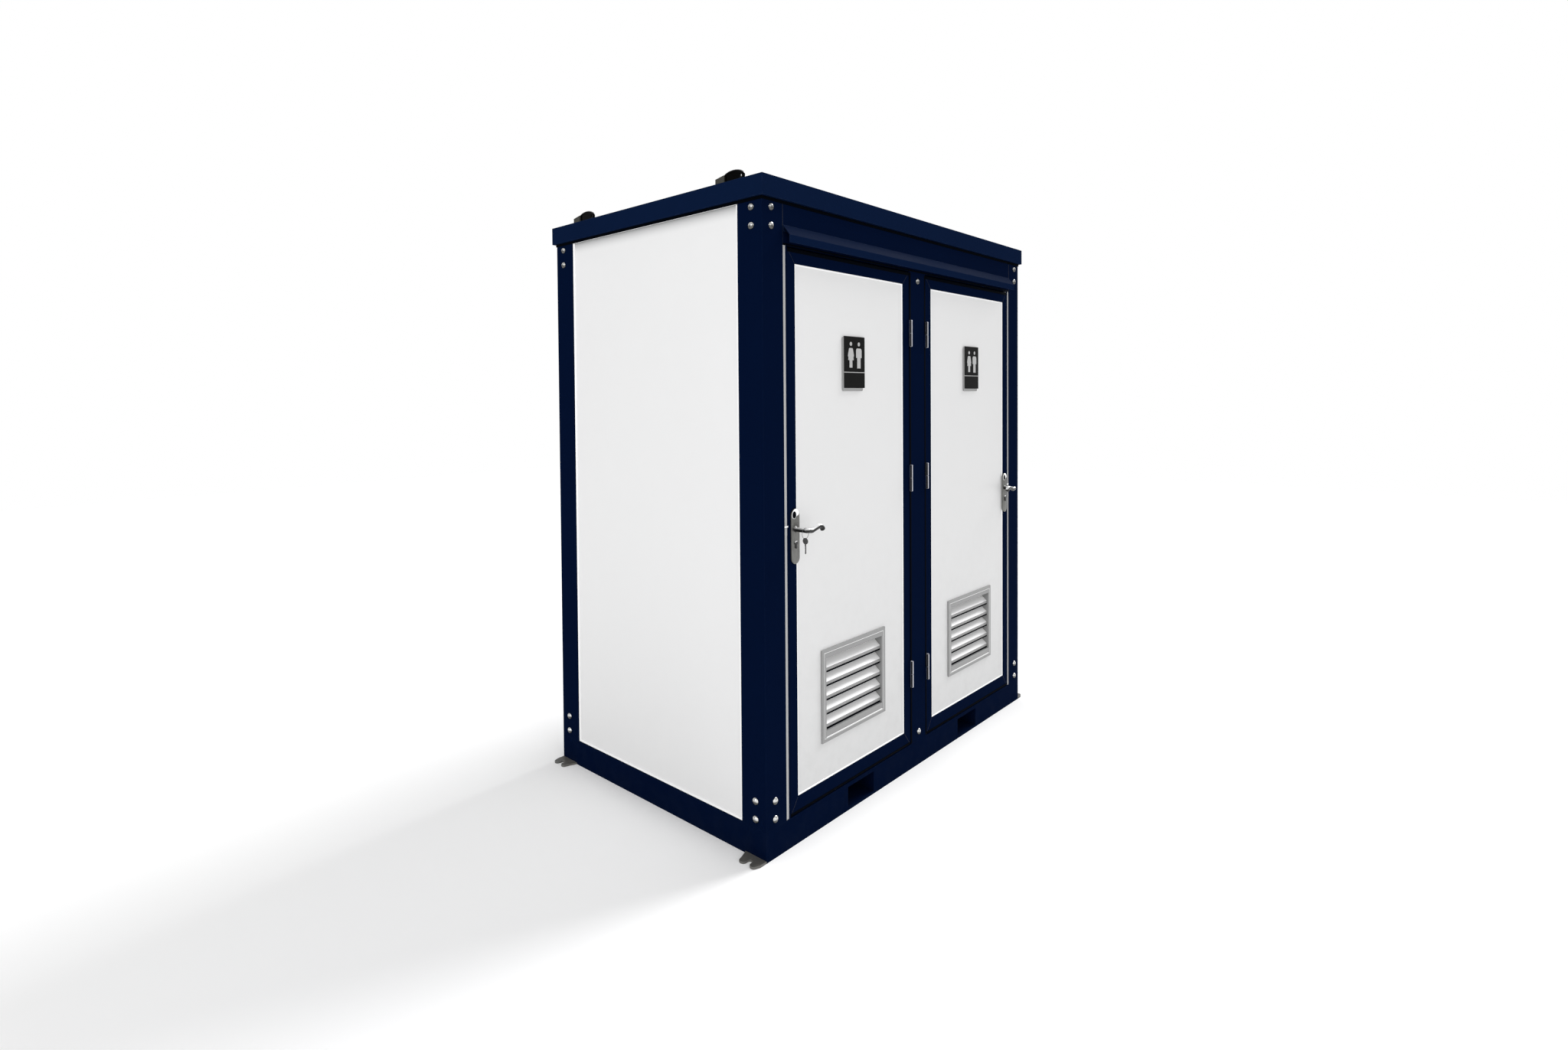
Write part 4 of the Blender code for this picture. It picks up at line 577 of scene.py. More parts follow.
def plaque(shape, thickness, place, facing="front", **more):
    """A flat plate whose shape is a rectangle with round corners: width, height and radius."""
    return slab(round_corners(*shape), thickness, place, facing, **more)


def border(width, height, section, place, facing="front"):
    """A mitred frame: a section of (inward, height) points carried round a rectangle through its corners."""
    section = np.asarray(section, float)
    inward = section[:, 0]
    rings = [on_face(np.stack([sx * (width / 2 - inward), sy * (height / 2 - inward)], -1), section[:, 1:],
                     place, facing) for sx, sy in SQUARE]
    return skin(np.stack(rings), loop=True)


def half_round(width, height):
    """A low half-round section from the edge inwards, closed under its foot."""
    angle = np.linspace(math.pi, 0, 9)
    top = np.stack([width / 2 + width / 2 * np.cos(angle), height * np.sin(angle)], -1)
    return np.vstack([top, ((width, -0.0005), (0.0, -0.0005))])


# Places of the doors' fittings, read from their nodes

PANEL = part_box("door_panel_right")
LIP = 0.0033
HINGE_STILE, LOCK_STILE, FOOT_RAIL, TOP_RAIL = 0.050, 0.045, 0.061, 0.053
PANEL_FACE = PANEL[0].y
PANEL_BACK = PANEL[1].y
LEAF_FACE = PANEL_FACE - LIP
LEAF_BACK = PANEL_BACK + LIP
LEAF_X = (PANEL[0].x - LIP, PANEL[1].x + LIP)
LEAF_Z = (PANEL[0].z - LIP, PANEL[1].z + LIP)
LEAF_SIZE = (LEAF_X[1] - LEAF_X[0], LEAF_Z[1] - LEAF_Z[0])
LEAF_MIDDLE = (sum(LEAF_X) / 2, sum(LEAF_Z) / 2)
WINDOW_X = (LEAF_X[0] + HINGE_STILE, LEAF_X[1] - LOCK_STILE)
WINDOW_Z = (LEAF_Z[0] + FOOT_RAIL, LEAF_Z[1] - TOP_RAIL)
HANDLE_INSET, HANDLE_HEIGHT = 0.0325, 1.173
PIVOT = (LEAF_X[1] - HANDLE_INSET, HANDLE_HEIGHT)
HINGE_LINE = (0.070, -0.617)
HINGE_HEIGHTS = (0.4275, 1.298, 1.934)
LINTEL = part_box("lintel_beam")
POST_INNER = LINTEL[1].x
LINTEL_FOOT = LINTEL[0].z
JAMB_FACE = FRONT + 0.002


def middle(name):
    """The middle of a node's box."""
    return np.mean(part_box(name), axis=0)


def on_door(name, word, slot, finish, skins, **more):
    """A piece that a door carries, named for its side."""
    piece(f"{name}_{word}", "door_" + word, slot, finish, skins, **more)


def dome(radius, rise):
    """Profile of a round head: a quarter of an ellipse over a short straight foot."""
    angle = np.linspace(math.pi / 2, 0, 7)
    cap = np.stack([radius * np.cos(angle), rise * np.sin(angle)], -1)
    return np.vstack([cap, ((radius, -0.0006), (0.0, -0.0006))])


def bolt_heads():
    """Plated dome heads over the heads on the posts and the mullion."""
    profile = dome(0.0138, 0.0076)
    inset, from_ends, mullion_from_end = 0.050, (0.032, 0.098), 0.039
    levels = [BASE_TOP + d for d in from_ends] + [EAVES - d for d in from_ends]
    for side_word, side in SIDES:
        for end_word, end in ENDS:
            skins = []
            for z in levels:
                front = (side * (HALF_WIDTH - inset), end * HALF_DEPTH, z)
                cheek = (side * HALF_WIDTH, end * (HALF_DEPTH - inset), z)
                skins += [turned(profile * (1, end), front, "y"), turned(profile * (1, side), cheek, "x")]
            piece(f"bolt_heads_{end_word}_{side_word}", "cabin", "chrome", "bolt", skins)
    levels = (BASE_TOP + mullion_from_end, LINTEL_FOOT - mullion_from_end)
    piece("bolt_heads_mullion", "cabin", "chrome", "bolt",
          [turned(profile * (1, -1), (0, FRONT, z), "y") for z in levels])


def hinge_sleeves():
    """Bright barrels over the hinge rolls: the lower ones stay and the upper ones turn with the door."""
    radius, reach, edge, chamfer = 0.0063, 0.0583, 0.0010, 0.0012
    for word, side in SIDES:
        centre = (side * HINGE_LINE[0], HINGE_LINE[1], 0.0)
        for part_word, body, low, high in (("lower", "cabin", -reach, -0.0001),
                                           ("upper", "door_" + word, 0.0001, reach)):
            profile = ((0.0, low), (radius - edge, low), (radius, low + chamfer), (radius, high - chamfer),
                       (radius - edge, high), (0.0, high))
            skins = [turned(np.add(profile, (0, height)), centre, "z", 20) for height in HINGE_HEIGHTS]
            piece(f"hinge_barrels_{part_word}_{word}", body, "chrome", "zinc", skins)


def panel_beads():
    """White beads where the door skins and the walls meet their frames."""
    section = half_round(0.0062, 0.0030)
    width = WINDOW_X[1] - WINDOW_X[0]
    height = WINDOW_Z[1] - WINDOW_Z[0]
    middle_x, middle_z = sum(WINDOW_X) / 2, sum(WINDOW_Z) / 2
    for word, side in SIDES:
        skins = [border(width, height, section, (side * middle_x, face, middle_z), facing)
                 for face, facing in ((PANEL_FACE, "front"), (PANEL_BACK, "back"))]
        on_door("panel_bead", word, "white_panel", "bead", skins)
    section = half_round(0.010, 0.0065)
    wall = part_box("side_panel_left")
    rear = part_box("rear_panel")
    tall, middle_z = EAVES - BASE_TOP, (EAVES + BASE_TOP) / 2
    for word, side in SIDES:
        piece("wall_bead_" + word, "cabin", "white_panel", "bead",
              [border(2 * wall[1].y, tall, section, (side * -wall[0].x, 0.0, middle_z), word)])
    piece("wall_bead_rear", "cabin", "white_panel", "bead",
          [border(2 * rear[1].x, tall, section, (0.0, rear[1].y, middle_z), "back")])


FIGURES = {
    "skirt": ((0.045, 0.080), (0.085, 0.075), (0.105, 0.030), (0.145, -0.075), (0.118, -0.090),
              (0.128, -0.155), (0.066, -0.155), (0.066, -0.300)),
    "plain": ((0.085, 0.080), (0.118, 0.065), (0.132, 0.035), (0.132, -0.105), (0.080, -0.105),
              (0.080, -0.310)),
}


def figure(kind):
    """Outline of a standing figure for a door sign, in parts of the sign's width and height."""
    half = np.array(FIGURES[kind])
    return np.vstack([half[::-1], half * (-1, 1)])


def sign_faces():
    """A black face on each grey sign plate, set a little up and to the right of it, with raised pale figures
    and a thin line."""
    wide, tall, thick = 0.148, 0.2055, 0.0012
    off_x, off_z, sunk = 0.008, 0.0082, -0.0006
    body_up, head_up, head_radius, rule_down = 0.195, 0.355, 0.0080, 0.195
    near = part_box("sign_plate_right")[0].y
    centre_x, _, centre_z = middle("sign_plate_right") + (0, 0, off_z)
    for word, side in SIDES:
        x = side * centre_x + off_x
        on_door("sign_face", word, "black_plate", "sign",
                [plaque((wide, tall, 0.003), thick, (x, near, centre_z), low=sunk)])
        rule = (x, near - thick, centre_z - rule_down * tall)
        skins = []
        for kind, across in (("skirt", -0.17), ("plain", 0.21)):
            body = (x + across * wide, near - thick, centre_z + body_up * tall)
            head = (x + across * wide, near - thick, centre_z + head_up * tall)
            skins += [slab(figure(kind) * (wide, tall), 0.0007, body, low=sunk),
                      slab(circle(head_radius, 20), 0.0008, head, low=sunk)]
        skins.append(plaque((wide - 0.0008, 0.0028, 0.0006), 0.0006, rule, low=-0.0005))
        on_door("sign_figures", word, "black_plate", "figure", skins)


def vent_ridges():
    """A thin raised line round each vent's flange."""
    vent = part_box("louvre_vent_right")
    size = vent[1] - vent[0]
    inset = 0.026
    section = half_round(0.0026, 0.0014)
    x, _, z = middle("louvre_vent_right")
    for word, side in SIDES:
        on_door("vent_ridge", word, "grey_grille", "ridge",
                [border(size.x - inset, size.z - inset, section, (side * x, vent[0].y, z))])


def vent_shade_lines():
    """A near-black strip under each slat's lip as painted shade, and a white sill line on the flange's foot
    as a painted highlight.
    """
    near, _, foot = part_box("louvre_vent_right")[0].yxz
    x, _, z = middle("louvre_vent_right") + (0, 0, 0.005)
    tall, below, count, deep = 0.283, 0.007, 5, 0.009
    wide, above_lip, sill_up = 0.3955, 0.0008, 0.0180
    pitch = (tall - below) / count
    for word, side in SIDES:
        skins = []
        for row in range(count):
            height = 0.0060 if row else 0.0075
            level = z - tall / 2 + below + pitch * row + above_lip - height / 2
            skins.append(plaque((wide, height, 0.0004), 0.0010, (side * x, near + deep, level), low=-0.0010))
        # Painted shade: a near-black line under each slat's lip.
        on_door("vent_shade_lines", word, "black_plate", "painted_shade_black", skins)
        # Painted highlight: a white line along the flange's foot.
        on_door("vent_sill_highlight", word, "grey_grille", "bead",
                [plaque((0.398, 0.0030, 0.0010), 0.0012, (side * x, near, foot + sill_up), edge=0.0006,
                        low=-0.001)])


def jamb_trims():
    """A navy cover strip along the inner side of each pale jamb strip."""
    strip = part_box("jamb_strip_right")
    near, far = LEAF_X[1] + 0.0034, LEAF_X[1] + 0.0098
    shape = (far - near, strip[1].z - strip[0].z + 0.0006, 0.0004)
    for word, side in SIDES:
        place = (side * (near + far) / 2, JAMB_FACE, (strip[0].z + strip[1].z) / 2)
        piece("jamb_trim_" + word, "cabin", "navy_steel", "navy",
              [plaque(shape, 0.0010, place, edge=0.0003, low=-0.001)])


def strike_lips():
    """A pale lip across the latch's notch in each jamb strip, with a white band that is a painted highlight.
    """
    wide = POST_INNER - LEAF_X[1] - 0.004
    band_up = 0.014
    for word, side in SIDES:
        x = side * (POST_INNER - wide / 2)
        piece("strike_lip_" + word, "cabin", "light_strip", "strip",
              [plaque((wide, 0.036, 0.0008), 0.0006, (x, JAMB_FACE, PIVOT[1]), edge=0.0003, low=-0.004)])
        # Painted highlight: a white band above the latch's notch.
        piece("strike_highlight_band_" + word, "cabin", "chrome", "bead",
              [plaque((wide, 0.006, 0.001), 0.0012, (x, JAMB_FACE, PIVOT[1] + band_up), edge=0.0005,
                      low=-0.001)])


def joint_lines():
    """Dark sealant between lintel and posts, and mitre lines on the doors' frames."""
    tall = EAVES - LINTEL_FOOT
    x, z = POST_INNER + 0.0002, LINTEL_FOOT + tall / 2
    skins = [plaque((0.0014, tall - 0.001, 0.0004), 0.0003, (side * x, FRONT, z), low=-0.002)
             for _, side in SIDES]
    piece("lintel_joint", "cabin", "navy_steel", "joint", skins)
    near_end, far_end, half_width = 0.02, 0.98, 0.0005
    for word, side in SIDES:
        skins = []
        for outer_x, inner_x in zip(LEAF_X, WINDOW_X):
            for outer_z, inner_z in zip(LEAF_Z, WINDOW_Z):
                corner = np.array((side * outer_x, outer_z))
                along = np.array((side * (inner_x - outer_x), inner_z - outer_z))
                start, end = corner + along * near_end, corner + along * far_end
                across = np.array((-along[1], along[0])) / np.linalg.norm(along) * half_width
                outline = np.stack([start - across, end - across, end + across, start + across])
                skins.append(slab(outline, 0.0002, (0.0, LEAF_FACE, 0.0), low=-0.001))
        on_door("mitre_lines", word, "navy_steel", "joint", skins)


def shadow_seals():
    """Painted shadow: near-black strips under the fascia and the lintel, along the mullion's edges, and along
    the head and foot of each leaf."""
    outward, level = np.array(((0.0, 0.0), (0.0030, 0.0), (0.0030, -0.0110), (0.0, -0.0110))).T
    rings = [np.stack([sx * (HALF_WIDTH + outward), sy * (HALF_DEPTH + outward), EAVES + level], -1)
             for sx, sy in SQUARE]
    foot = plaque((2 * POST_INNER - 0.002, 0.0060, 0.001), 0.0020, (0.0, FRONT, LINTEL_FOOT + 0.0032),
                  edge=0.0006, low=-0.001)
    piece("eaves_shadow_strip", "cabin", "black_plate", "painted_shade_black", [skin(np.stack(rings), loop=True), foot])
    off_leaf = 0.0078
    for word, side in SIDES:
        place = (side * (LEAF_X[0] - off_leaf), FRONT, LEAF_MIDDLE[1])
        piece("mullion_shadow_strip_" + word, "cabin", "black_plate", "painted_shade_black",
              [plaque((0.0100, LEAF_SIZE[1], 0.001), 0.0009, place, edge=0.0004, low=-0.0005)])
        skins = [plaque((LEAF_SIZE[0] - 0.002, height, 0.002), 0.0016, (side * LEAF_MIDDLE[0], LEAF_FACE, z),
                        edge=0.0008, low=-0.0005)
                 for height, z in ((0.0130, LEAF_Z[1] - 0.0068), (0.0090, LEAF_Z[0] + 0.0048))]
        on_door("head_shadow_strip", word, "black_plate", "painted_shade_black", skins)


def handle_plates():
    """Long round-ended plates with a ringed keyhole boss, a cylinder lock and a keyway; the boss's white ring
    is a painted highlight, and the black keyhole and keyway are painted shade.
    """
    nose = lock_outline(0.0080, 0.0036, 0.0290)
    hole, ring = crescent(-0.0095)
    boss = ((0.0, 0.0068), (0.02, 0.0080), (0.10, 0.0086), (0.55, 0.0086), (0.90, 0.0080), (1.0, 0.0068))
    plate_z, hole_z, lock_z = PIVOT[1] - 0.026, PIVOT[1] + 0.0535, PIVOT[1] - 0.0500
    for word, side in SIDES:
        x = side * PIVOT[0]
        for face_word, y, facing in (("outer", LEAF_FACE, "front"), ("inner", LEAF_BACK, "back")):
            hole_at, lock_at = (x, y, hole_z), (x, y, lock_z)
            on_door("handle_plate_fine_" + face_word, word, "stainless", "plate",
                    [plaque((0.048, 0.204, 0.0235, 14), 0.0073, (x, y, plate_z), facing, edge=0.0022,
                            steps=4, low=0.0003)],
                    replaces=(f"handle_plate_{face_word}_{word}",))
            rings = [on_face(hole + share * (ring - hole), level, hole_at, facing) for share, level in boss]
            # Painted highlight: the boss ring is matte white, wide above and thin below.
            on_door("lock_boss_" + face_word, word, "stainless", "bead", [skin(np.stack(rings + rings[:1]))])
            on_door("lock_barrel_" + face_word, word, "stainless", "barrel",
                    [slab(nose, 0.0125, lock_at, facing, edge=0.0022, steps=4, low=0.0060)])
            # Painted shade: a near-black disc for the keyhole.
            on_door("lock_hole_" + face_word, word, "black_plate", "painted_shade_black",
                    [slab(hole, 0.0082, hole_at, facing, low=0.0060)])
            # Painted shade: a near-black strip for the keyway's slot.
            on_door("keyways_" + face_word, word, "black_plate", "black",
                    [plaque((0.0022, 0.0110, 0.0009), 0.01265, lock_at, facing, low=0.0100)])


def crescent(shift):
    """Two outlines on the same rays from a point beside the plate's middle: a round hole, and an outer line
    that follows the plate's round end above and the hole below."""
    end_radius, hole_wide, hole_tall, least, thin = 0.0222, 0.0112, 0.0132, 0.0007, 0.0014
    ray = circle(1.0, 48)
    centre = np.array((shift, 0.0005))
    along = ray @ centre
    far = -along + np.sqrt(along ** 2 - centre @ centre + end_radius ** 2)
    hole = np.hypot(hole_wide * ray[:, 0], hole_tall * ray[:, 1])
    rise = np.clip((ray[:, 1] + 0.55) / 0.75, 0.0, 1.0)
    rise = rise * rise * (3 - 2 * rise)
    outer = np.minimum(far, hole + thin + rise * (far - hole - thin))
    outer = np.maximum(outer, hole + least)
    return centre + ray * hole[:, None], centre + ray * outer[:, None]


def lock_outline(radius, tail, height):
    """Outline of a profile cylinder: a round barrel over a narrower round-ended tail."""
    meeting = math.asin(tail / radius)
    barrel = np.linspace(meeting - math.pi / 2, 1.5 * math.pi - meeting, 22)
    foot = np.linspace(math.pi, math.tau, 10)
    top = radius * np.stack([np.cos(barrel), np.sin(barrel)], -1)
    low = np.stack([tail * np.cos(foot), radius + tail - height + tail * np.sin(foot)], -1)
    return np.vstack([top, low])


def lever_rows(side, out, face):
    """Path and sizes of one lever from its grip's tip to the neck's root: a grip that waves down and up, a
    quarter-round elbow and a straight neck."""
    reach, bend, length, root = 0.060, 0.0085, 0.096, 0.0076
    neck_size, grip_wide, grip_tall = 0.0086, 0.0084, 0.0094
    knots = ((1.0, -0.0080), (0.94, 0.0015), (0.86, 0.0075), (0.70, 0.0092), (0.45, 0.0030), (0.25, -0.0022),
             (0.12, -0.0020), (0.0, 0.0))
    grip = smoothed([(bend + (length - bend) * run, reach, rise) for run, rise in knots], 40)
    angle = np.linspace(0, math.pi / 2, 9)[1:]
    elbow = np.stack([bend * (1 - np.sin(angle)), reach - bend * (1 - np.cos(angle)), np.zeros(8)], -1)
    neck = np.stack([np.zeros(8), np.linspace(reach - bend, root, 9)[1:], np.zeros(8)], -1)
    share = np.linspace(1.0, 0.0, 40)
    flare = 0.94 + 0.20 * share ** 3
    round_end = np.sqrt(np.clip(1 - ((share - 0.95) / 0.0505).clip(0) ** 2, 0.0, 1))
    grip_size = np.stack([grip_wide * flare * round_end, grip_tall * flare * round_end], -1)
    sizes = np.vstack([grip_size, np.full((16, 2), neck_size)])
    place = np.array((side * PIVOT[0], face, PIVOT[1]))
    return place + np.vstack([grip, elbow, neck]) * (-side, out, 1.0), sizes


def lever_handles():
    """Cast levers: a smooth round grip on each face of the door, with a collar at the plate."""
    collar = np.array(((0.0, 0.0074), (0.0112, 0.0074), (0.0112, 0.0082), (0.0106, 0.0088), (0.0, 0.0088)))
    for word, side in SIDES:
        skins = []
        for face, out in ((LEAF_FACE, -1), (LEAF_BACK, 1)):
            path, sizes = lever_rows(side, out, face)
            skins += [carried(path, circle(1.0, 24), sizes=sizes),
                      turned(collar * (1, out), (side * PIVOT[0], face, PIVOT[1]), "y", 28)]
        piece("lever_fine_" + word, "lever_" + word, "chrome", "lever", skins,
              replaces=("lever_handle_" + word,), sharp=50)


def key_on_ring():
    """A flat cut key hanging edge to edge from a thin split ring."""
    x, y = -PIVOT[0], LEAF_FACE - 0.051
    ring_r, wire, neck_r = 0.0195, 0.0008, 0.0088
    ring_z = PIVOT[1] + neck_r - (ring_r - wire)
    angle = np.linspace(0, 2 * math.tau, 128, endpoint=False)
    lift = wire * 0.9 * np.sin(angle / 4) ** 2 - wire * 0.45
    coil = np.stack([x + ring_r * np.cos(angle), y + lift, ring_z + ring_r * np.sin(angle)], -1)
    bow_r, hole_r, over_hole, length, half = 0.0118, 0.0030, 0.0025, 0.036, 0.0028
    hole_z = ring_z - ring_r - hole_r + wire / 2
    bow_z = hole_z - (bow_r - hole_r - over_hole)
    shoulder = math.asin(half / bow_r)
    bow = np.linspace(-math.pi / 2 + shoulder, 1.5 * math.pi - shoulder, 36)
    bow = np.stack([bow_r * np.cos(bow), bow_z + bow_r * np.sin(bow)], -1)
    tip = bow_z - bow_r - length
    blade = [(-half, tip + half), (0.0, tip), (half * 0.6, tip + half * 0.5)]
    pitch, flank, floor = 0.0042, 0.0015, 0.0026
    depth = np.array((0.0010, 0.0020, 0.0013, 0.0022, 0.0009, 0.0016))
    low = tip + half + np.arange(6) * pitch
    bits = np.stack([np.stack([np.full(6, half), low], -1), np.stack([half - depth, low + flank], -1),
                     np.stack([half - depth, low + floor], -1)], 1).reshape(-1, 2)
    outline = np.vstack([bow, blade, bits, ((half, tip + half + 0.0262),)])
    levels = ((0.0003, -0.0011), (0.0, -0.0008), (0.0, 0.0008), (0.0003, 0.0011))
    skins = [carried(coil, circle(wire * 0.75, 10), up=(0, 1, 0)),
             layered(outline, levels, (x, y, 0.0), "right")]
    piece("door_key_fine", "key", "chrome", "key", skins, ("door_key",), sharp=30)


def upright_ring(x, y, z, half_long, half_tall, wire):
    """An oval of round bar that stands across X."""
    angle = ring_angles(64)
    path = np.stack([np.full(64, x), y + half_long * np.cos(angle), z + half_tall * np.sin(angle)], -1)
    return carried(path, circle(wire, 16), up=(1, 0, 0), loop=True)


def lifting_eyes():
    """Oval eyes of round bar on foot plates, part filled by a web, each with a weld-on block."""
    half_x, half_y = HALF_WIDTH - 0.0425, HALF_DEPTH - 0.1695
    thick, long, front = 0.008, 0.148, 0.062
    foot = ROOF[1].z + 0.0003
    top = foot + thick
    half_long, half_tall, up, web_end, web_low = 0.0485, 0.0215, 0.0205, -0.034, -0.004
    hoop_x, hoop_y, hoop_r = 0.010, 0.036, 0.0165
    back = long - front - 0.005
    near = back - 0.043
    sweep = np.linspace(0, math.acos(web_end / half_long), 14)
    web = np.stack([half_long * np.cos(sweep), up + half_tall * np.sin(sweep)], -1)
    web = np.vstack([web, ((web_end, web_low), (half_long, web_low))])
    block = ((near, -0.002), (back, -0.002), (back, 0.026), (near, 0.034))
    for end_word, end in ENDS:
        for side_word, side in SIDES:
            at = f"{end_word}_{side_word}"
            x, y = side * half_x, end * half_y
            # A small white ring beside each eye: it stands for a bright reflection on the eye, a painted
            # highlight.
            piece("eye_hoop_" + at, "cabin", "grey_steel", "hoop",
                  [upright_ring(x + hoop_x, y + hoop_y, top + half_tall, hoop_r, hoop_r, 0.0055)])
            skins = [plaque((0.052, long, 0.006), thick, (x, y - front + long / 2, foot), "top", edge=0.002),
                     upright_ring(x, y, top + up, half_long, half_tall, 0.0065),
                     slab(web, 0.0045, (x, y, top), "right", edge=0.001, low=-0.0045)]
            piece("eye_ring_" + at, "cabin", "black_steel", "eye", skins, ("lifting_eye_" + at,), sharp=45)
            piece("eye_block_" + at, "cabin", "grey_steel", "block",
                  [slab(block, 0.012, (x, y, top), "right", edge=0.0012, low=-0.012)], sharp=30)


def door_seals():
    """Soft rubber strips round the back of each leaf, where it meets its stops."""
    section = half_round(0.0058, 0.0028)
    inset = 0.0006
    for word, side in SIDES:
        place = (side * LEAF_MIDDLE[0], LEAF_BACK, LEAF_MIDDLE[1])
        on_door("door_seal", word, "black_plate", "rubber",
                [border(LEAF_SIZE[0] - inset, LEAF_SIZE[1] - inset, section, place, "back")])


def ceiling_light(word):
    """A frosted lens on a base under the roof, over the toilet."""
    place = (middle("toilet_seat_" + word)[0], -0.02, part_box("roof_panel")[0].z)
    piece("ceiling_light_" + word, "cabin", "white_plastic", "lens",
          [plaque((0.10, 0.56, 0.03, 8), 0.045, place, "under", edge=0.018, steps=6, low=0.012)])
    piece("ceiling_light_base_" + word, "cabin", "white_plastic", "plastic",
          [plaque((0.112, 0.572, 0.034, 8), 0.013, place, "under", edge=0.003, low=-0.001)])


def waste_trap(word, side):
    """A bent trap pipe: it drops from the basin, turns up again and runs into the wall, with three nuts."""
    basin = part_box("hand_basin_" + word)
    outer, inner = abs(basin[0].x), abs(basin[1].x)
    x = side * ((outer + inner) / 2 - 0.03)
    y, z = (basin[0].y + basin[1].y) / 2, basin[0].z
    turn, dip, elbow = 0.026, 0.030, 0.02
    rise_x = x + side * 2 * turn
    half_turn = np.linspace(0, math.pi, 15)
    quarter = np.linspace(0, math.pi / 2, 7)[1:]
    loop = np.stack([x + side * (turn - turn * np.cos(half_turn)), np.full(15, y),
                     z - 0.085 - dip * np.sin(half_turn)], -1)
    over = np.stack([rise_x + side * elbow * (1 - np.cos(quarter)), np.full(6, y),
                     z - 0.068 + elbow * np.sin(quarter)], -1)
    pipe = np.vstack([[(x, y, z + 0.004), (x, y, z - 0.03), (x, y, z - 0.07)], loop, [(rise_x, y, z - 0.070)],
                      over, [(side * max(outer, inner), y, z - 0.048)]])
    nut = ((0.0, 0.0), (0.021, 0.0), (0.0225, 0.003), (0.0225, 0.013), (0.021, 0.016), (0.0, 0.016))
    nuts = [turned(nut, (at_x, y, z - down)) for at_x, down in ((x, 0.018), (x, 0.075), (rise_x, 0.078))]
    piece("waste_trap_" + word, "cabin", "white_plastic", "plastic",
          [carried(pipe, circle(0.0155, 18), up=(0, 1, 0))] + nuts, sharp=50)


def paper_holder(word, side):
    """A roll of paper on a bent bar that stands on the partition."""
    wall, out, level, end_y, sides = side * 0.0200, 0.062, 0.72, 0.085, 40
    roll = ((0.019, -0.048), (0.052, -0.048), (0.054, -0.046), (0.054, 0.046), (0.052, 0.048), (0.019, 0.048))
    rings = turned(roll, (wall + side * out, 0.02, level), "y", sides)[0].reshape(-1, sides, 3)
    piece("paper_roll_" + word, "cabin", "white_plastic", "paper", [skin(rings, loop=True)])
    bends = ((0.003, end_y), (0.030, end_y), (0.050, 0.084), (0.060, 0.076), (out, 0.060), (out, 0.0),
             (out, -0.040))
    bar = smoothed([(wall + side * off, y, level) for off, y in bends], 24)
    plate = plaque((0.05, 0.05, 0.01), 0.005, (wall, end_y, level), word, edge=0.0015, low=-0.0005)
    piece("paper_holder_" + word, "cabin", "chrome", "chrome", [carried(bar, circle(0.005, 14)), plate],
          sharp=50)


def room_fittings():
    """Ceiling light, waste trap and paper holder of each room."""
    for word, side in SIDES:
        ceiling_light(word)
        waste_trap(word, side)
        paper_holder(word, side)


def smoothed(points, count):
    """A path through a few points, taken again at even steps: each coordinate is interpolated over the
    length run and then averaged with its neighbours twice."""
    points = np.asarray(points, float)
    run = np.concatenate([[0.0], np.cumsum(np.linalg.norm(np.diff(points, axis=0), axis=1))])
    even = np.linspace(0, run[-1], count)
    path = np.stack([np.interp(even, run, points[:, k]) for k in range(3)], -1)
    for _ in range(2):
        path[1:-1] = (path[:-2] + 2 * path[1:-1] + path[2:]) / 4
    return path


# Stage

FLOOR_GLOW = 0.12
FLOOR_REACH = 14


def stage_floor():
    """A wide flat floor, pale and faintly clouded, with a glow that only the camera and reflections see."""
    floor = Finish("pale_floor", Roughness=0.9, Specular_IOR_Level=0.0, Emission_Color=(1, 1, 1, 1))
    path = floor.add("LightPath").outputs
    bent = floor.maths("MAXIMUM", path["Is Glossy Ray"], path["Is Transmission Ray"])
    seen = floor.maths("MAXIMUM", path["Is Camera Ray"], bent)
    cloud = floor.span(floor.noise(floor.given(), 0.35, 2.0), 0.3, 0.7)
    colour = floor.blend(cloud, linear((242, 242, 243)), linear(245))
    floor.join(colour, floor.shader.inputs["Base Color"])
    floor.join(floor.times(seen, FLOOR_GLOW), floor.shader.inputs["Emission Strength"])
    mesh = bpy.data.meshes.new("studio_floor")
    mesh.from_pydata([(x * FLOOR_REACH, y * FLOOR_REACH, 0.0) for x, y in SQUARE], [], [(0, 1, 2, 3)])
    mesh.materials.append(floor.material)
    placed("studio_floor", mesh)


def world_light():
    """A white surround that the camera sees, and a softer one that lights the cabin."""
    world = bpy.data.worlds.new("studio")
    world.use_nodes = True
    bpy.context.scene.world = world
    graph = Graph(world.node_tree)
    graph.tree.nodes.clear()
    path = graph.add("LightPath").outputs
    seen = graph.maths("MAXIMUM", path["Is Camera Ray"], path["Is Transmission Ray"])
    lit, white = (graph.add("Background", None, Color=(1, 1, 1, 1), Strength=power).outputs[0]
                  for power in (0.60, 1.0))
    mix = graph.add("MixShader", None, i0=seen, i1=lit, i2=white)
    graph.add("OutputWorld", None, Surface=mix.outputs[0])


def soft_light(name, place, aim, size, power):
    """A square area lamp that looks at a point."""
    lamp = bpy.data.lights.new(name, "AREA")
    lamp.shape = "RECTANGLE"
    lamp.size, lamp.size_y = size
    lamp.energy = power
    item = placed(name, lamp)
    item.location = place
    item.rotation_euler = (Vector(aim) - Vector(place)).to_track_quat("-Z", "Y").to_euler()


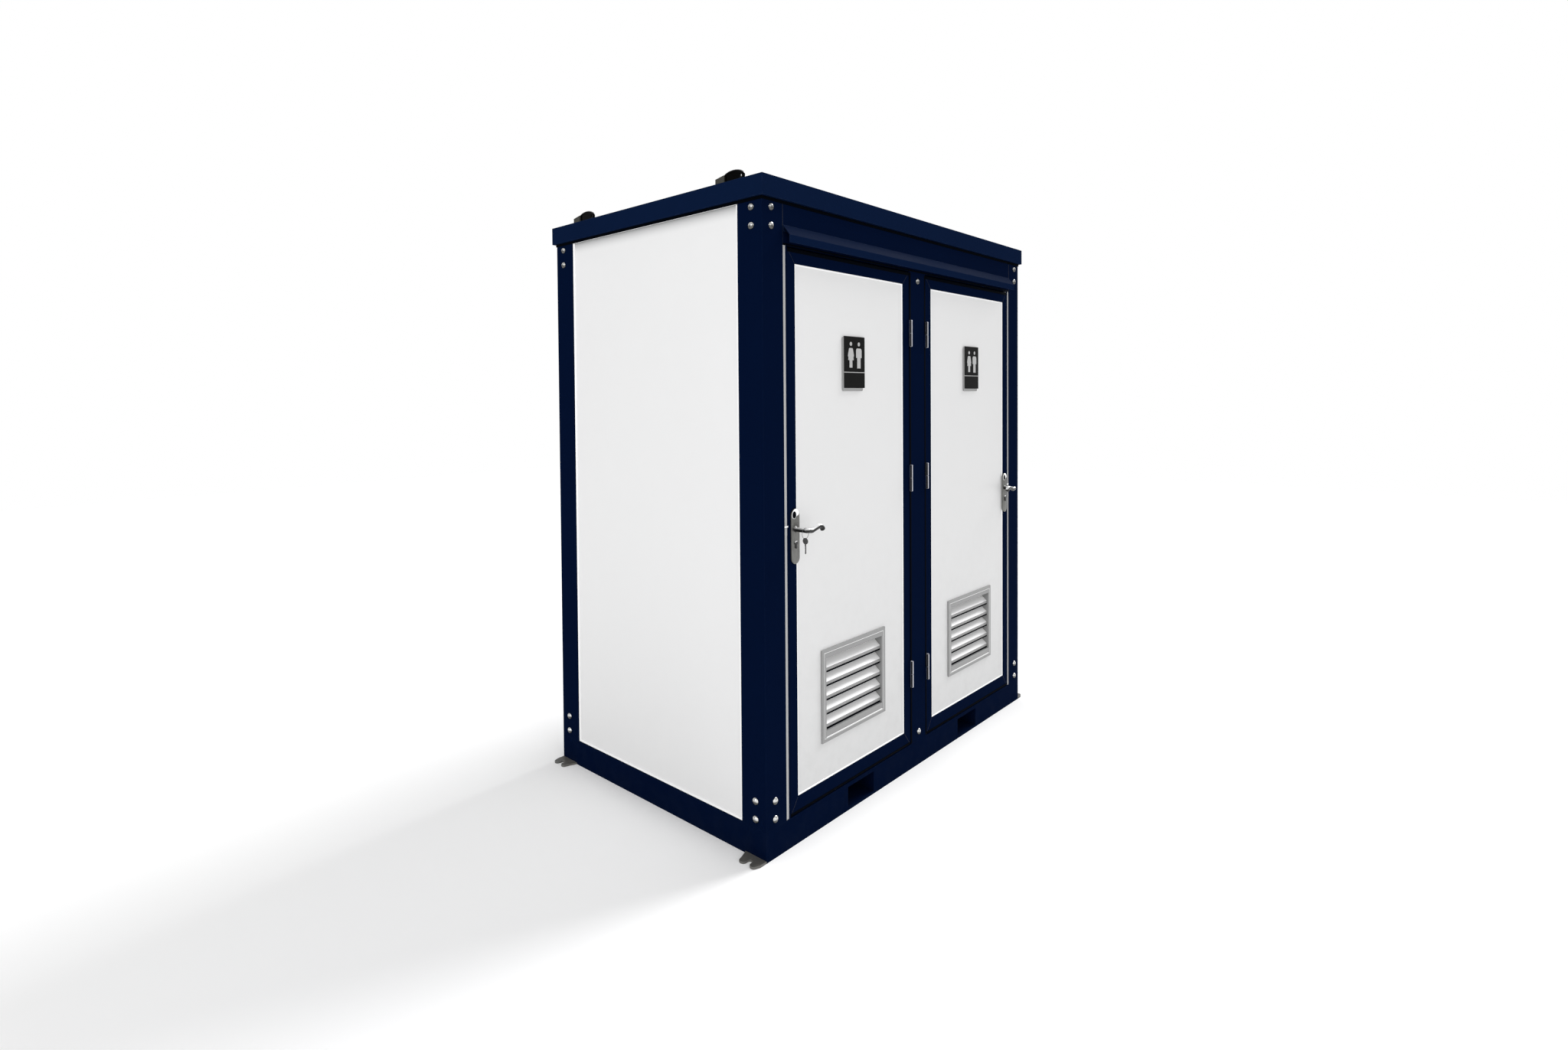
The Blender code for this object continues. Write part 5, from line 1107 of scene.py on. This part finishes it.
def sun_light(name, towards, softness, power):
    """A far lamp in a direction, with a soft edge of so many degrees."""
    lamp = bpy.data.lights.new(name, "SUN")
    lamp.energy = power
    lamp.angle = math.radians(softness)
    item = placed(name, lamp)
    item.rotation_euler = Vector(towards).to_track_quat("Z", "Y").to_euler()


def set_camera():
    """The camera's place and turn from the fit, with its shift taken from the picture's centre."""
    (yaw_x, yaw_y), (pitch_x, pitch_y), (roll_x, roll_y) = (
        (math.cos(angle), math.sin(angle)) for angle in (CAMERA_YAW, CAMERA_PITCH, CAMERA_ROLL))
    forward = Vector((-yaw_y * pitch_x, yaw_x * pitch_x, pitch_y))
    right = Vector((yaw_x, yaw_y, 0.0))
    up = right.cross(forward)
    across = right * roll_x + up * roll_y
    upright = up * roll_x - right * roll_y
    camera = bpy.data.cameras.new("camera")
    item = placed("camera", camera)
    columns = (across, upright, -forward, Vector(CAMERA_PLACE))
    item.matrix_world = Matrix([[c[i] for c in columns] for i in range(3)] + [[0, 0, 0, 1]])
    camera.sensor_fit = "HORIZONTAL"
    camera.sensor_width = SENSOR
    camera.lens = FOCAL_PIXELS * SENSOR / IMAGE_SIZE[0]
    camera.shift_x = (IMAGE_SIZE[0] / 2 - IMAGE_CENTRE[0]) / IMAGE_SIZE[0]
    camera.shift_y = (IMAGE_CENTRE[1] - IMAGE_SIZE[1] / 2) / IMAGE_SIZE[0]
    camera.clip_start = 0.05
    bpy.context.scene.camera = item


set_camera()
stage_floor()
world_light()
soft_light("front_light", (-2.5, -8.0, 3.2), (0, 0, 1.2), (5.0, 4.0), 90)
soft_light("side_light", (-8.5, -0.5, 3.2), (0, 0, 1.2), (5.0, 4.0), 175)
sun_light("right_sun", (1.0, -0.16, 0.86), 22.0, 2.4)
bpy.context.scene.view_settings.view_transform = "Standard"

dress_nodes()
bolt_heads()
hinge_sleeves()
panel_beads()
sign_faces()
vent_ridges()
vent_shade_lines()
jamb_trims()
strike_lips()
joint_lines()
shadow_seals()
handle_plates()
lever_handles()
key_on_ring()
lifting_eyes()
door_seals()
room_fittings()
